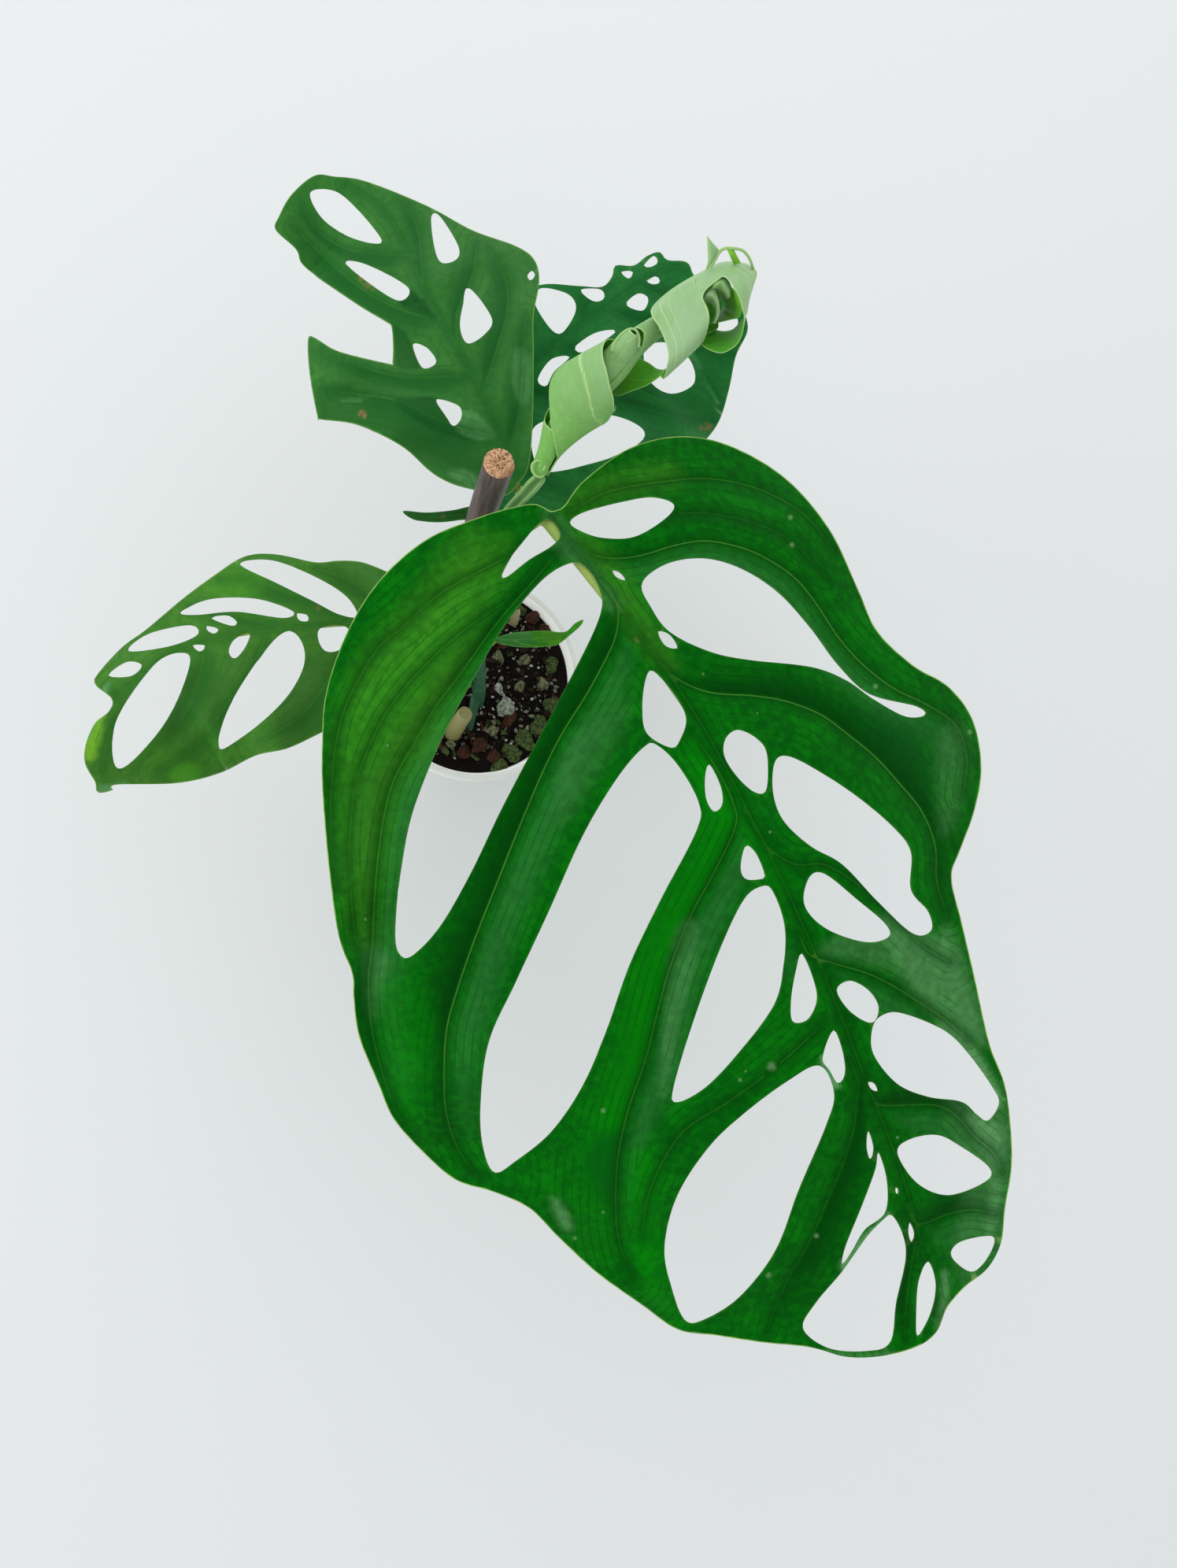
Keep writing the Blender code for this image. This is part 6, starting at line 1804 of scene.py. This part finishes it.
def length_property(name, description, default):
    return bpy.props.FloatProperty(name=name, description=description, default=default,
                                   min=0, subtype="DISTANCE", unit="LENGTH")


class MonsteraSizes(bpy.types.PropertyGroup):
    """Sizes that a user may change."""

    blade: length_property("Blade", "Thickness of an open blade", 0.7 * MM)
    rolled: length_property("Rolled blade", "Thickness of the rolled new leaf", 0.5 * MM)
    pot_wall: length_property("Pot wall", "Thickness of the pot's wall", 1.6 * MM)
    fold: bpy.props.FloatProperty(
        name="Vein folds", description="Depth of the folds along the veins", default=1, min=0)
    bark: bpy.props.IntProperty(
        name="Bark chips", description="Most dark bark chips on the soil", default=260, min=0)
    grains: bpy.props.IntProperty(
        name="Grains", description="Most pale grains on the soil", default=600, min=0)
    moss: bpy.props.IntProperty(
        name="Moss", description="Most small mounds of moss on the soil", default=50, min=0)


class MonsteraColours(bpy.types.PropertyGroup):
    """Colours that a user may change."""

    vein: colour_property("Vein", "Fine line along a vein", (0.16, 0.42, 0.06))
    margin: colour_property("Margin", "Thin line along a blade's edge", (0.38, 0.62, 0.16))
    fleck: colour_property("Fleck", "Small pale marks on a blade", (0.22, 0.42, 0.18))
    roll: colour_property("New leaf", "Outside of the rolled new leaf", (0.18, 0.46, 0.085))
    stake: colour_property("Stake", "Bark of the stake", (0.05, 0.032, 0.03))
    soil: colour_property("Soil", "Darkest parts of the soil", (0.006, 0.004, 0.004))
    pot: colour_property("Pot", "Plastic of the pot", (0.88, 0.88, 0.86))
    floor: colour_property("Floor", "The floor under the pot", (0.78, 0.8, 0.8))


class MONSTERA_OT_leaves(bpy.types.Operator):
    """Make the open leaves, each with its stalk and keel"""

    bl_idname = "monstera.leaves"
    bl_label = "Leaves"

    def execute(self, context):
        sizes, colours = context.scene.monstera_sizes, context.scene.monstera_colours
        green = stalk_finish("stalk_green", (0.09, 0.21, 0.06), (0.3, 0.45, 0.1))
        for name, drawing in LEAVES.items():
            finish = leaf_finish(name + "_skin", drawing, colours)
            blade = make_blade(name, drawing, sizes, finish)
            make_stalk(name, blade, green)
        return {"FINISHED"}


class MONSTERA_OT_new_leaf(bpy.types.Operator):
    """Make the newest leaf, still rolled, and its stalk"""

    bl_idname = "monstera.new_leaf"
    bl_label = "New leaf"

    def execute(self, context):
        sizes, colours = context.scene.monstera_sizes, context.scene.monstera_colours
        make_new_leaf(sizes, colours)
        skin = stalk_finish("new_stalk_skin", (0.06, 0.3, 0.03), (0.24, 0.46, 0.15),
                            (0.34, 0.52, 0.24))
        path = spline(np.array(NEW_STALK_ROUTE) * MM, steps=12)
        above = unit(EYE - path[-1])
        side = np.cross(above, unit(path[-1] - path[-2]))
        rings = stalk_rings(path, side, above, 2.6, 2.0, 0.9)
        along = round_rings(np.linspace(0, 1, len(rings)), STALK_SIDES)
        groove = np.minimum(1.0, groove_field(len(along), len(rings)) * 2.2)
        add_loft("new_leaf_petiole", rings, skin, "new_leaf_stalk",
                 {"along": along, "groove": groove})
        return {"FINISHED"}


class MONSTERA_OT_stem(bpy.types.Operator):
    """Make the stem, its root, the old stub and the dried sheath"""

    bl_idname = "monstera.stem"
    bl_label = "Stem"

    def execute(self, context):
        make_stem()
        return {"FINISHED"}


class MONSTERA_OT_stake(bpy.types.Operator):
    """Make the stake"""

    bl_idname = "monstera.stake"
    bl_label = "Stake"

    def execute(self, context):
        make_stake(context.scene.monstera_colours)
        return {"FINISHED"}


class MONSTERA_OT_soil(bpy.types.Operator):
    """Make the soil and what lies on it"""

    bl_idname = "monstera.soil"
    bl_label = "Soil"

    def execute(self, context):
        make_soil(context.scene.monstera_sizes, context.scene.monstera_colours)
        return {"FINISHED"}


class MONSTERA_OT_pot(bpy.types.Operator):
    """Make the pot"""

    bl_idname = "monstera.pot"
    bl_label = "Pot"

    def execute(self, context):
        make_pot(context.scene.monstera_sizes, context.scene.monstera_colours)
        return {"FINISHED"}


class MONSTERA_OT_stage(bpy.types.Operator):
    """Make the floor, the lights and the camera"""

    bl_idname = "monstera.stage"
    bl_label = "Stage"

    def execute(self, context):
        scene = context.scene
        floor = Finish("floor_paper", 0.9, Base_Color=(*scene.monstera_colours.floor, 1))
        mesh = bpy.data.meshes.new("floor")
        mesh.from_pydata([(-3, -3, 0), (3, -3, 0), (3, 3, 0), (-3, 3, 0)], [], [(0, 1, 2, 3)])
        mesh.materials.append(floor.made)
        ground = bpy.data.objects.new("floor", mesh)
        scene.collection.objects.link(ground)

        for name, place, size, power in (
                ("overhead", (-0.3, 0.6, 1.6), 1.5, 4), ("back", (0.3, 1.6, 0.55), 1.4, 5),
                ("left", (-1.5, -0.1, 0.5), 1.2, 7)):
            lamp = bpy.data.lights.new(name, "AREA")
            lamp.size = size
            lamp.energy = power
            light = bpy.data.objects.new(name, lamp)
            light.location = place
            aim = Vector((0.03, 0, 0.2)) - Vector(place)
            light.rotation_mode = "QUATERNION"
            light.rotation_quaternion = aim.to_track_quat("-Z", "Y")
            scene.collection.objects.link(light)

        world = scene.world or bpy.data.worlds.new("studio")
        scene.world = world
        world.use_nodes = True
        sky = world.node_tree.nodes["Background"]
        sky.inputs["Color"].default_value = (0.97, 0.985, 1.0, 1)
        sky.inputs["Strength"].default_value = 0.84
        scene.view_settings.view_transform = "Standard"

        view = bpy.data.cameras.new("viewpoint")
        view.lens = LENS_MM
        view.sensor_width = SENSOR_MM
        camera = bpy.data.objects.new("viewpoint", view)
        camera.matrix_world = Matrix.Translation(EYE) @ EYE_TURN.to_4x4()
        scene.collection.objects.link(camera)
        scene.camera = camera
        return {"FINISHED"}


PIECES = (MONSTERA_OT_stage, MONSTERA_OT_pot, MONSTERA_OT_soil, MONSTERA_OT_stake, MONSTERA_OT_stem,
          MONSTERA_OT_leaves, MONSTERA_OT_new_leaf)


class VIEW3D_PT_monstera(bpy.types.Panel):
    """The plant's pieces, sizes and colours"""

    bl_label = "Monstera"
    bl_space_type = "VIEW_3D"
    bl_region_type = "UI"
    bl_category = "Monstera"

    def draw(self, context):
        for piece in PIECES:
            self.layout.operator(piece.bl_idname)
        for group in (context.scene.monstera_sizes, context.scene.monstera_colours):
            box = self.layout.box()
            for key in group.__annotations__:
                box.prop(group, key)


CLASSES = (MonsteraSizes, MonsteraColours, *PIECES, VIEW3D_PT_monstera)


def register():
    for kind in CLASSES:
        bpy.utils.register_class(kind)
    bpy.types.Scene.monstera_sizes = bpy.props.PointerProperty(type=MonsteraSizes)
    bpy.types.Scene.monstera_colours = bpy.props.PointerProperty(type=MonsteraColours)


def unregister():
    del bpy.types.Scene.monstera_colours
    del bpy.types.Scene.monstera_sizes
    for kind in reversed(CLASSES):
        bpy.utils.unregister_class(kind)


def main():
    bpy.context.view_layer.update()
    register()
    bpy.ops.monstera.stage()
    bpy.ops.monstera.pot()
    bpy.ops.monstera.soil()
    bpy.ops.monstera.stake()
    bpy.ops.monstera.stem()
    bpy.ops.monstera.leaves()
    bpy.ops.monstera.new_leaf()


if __name__ == "__main__":
    main()
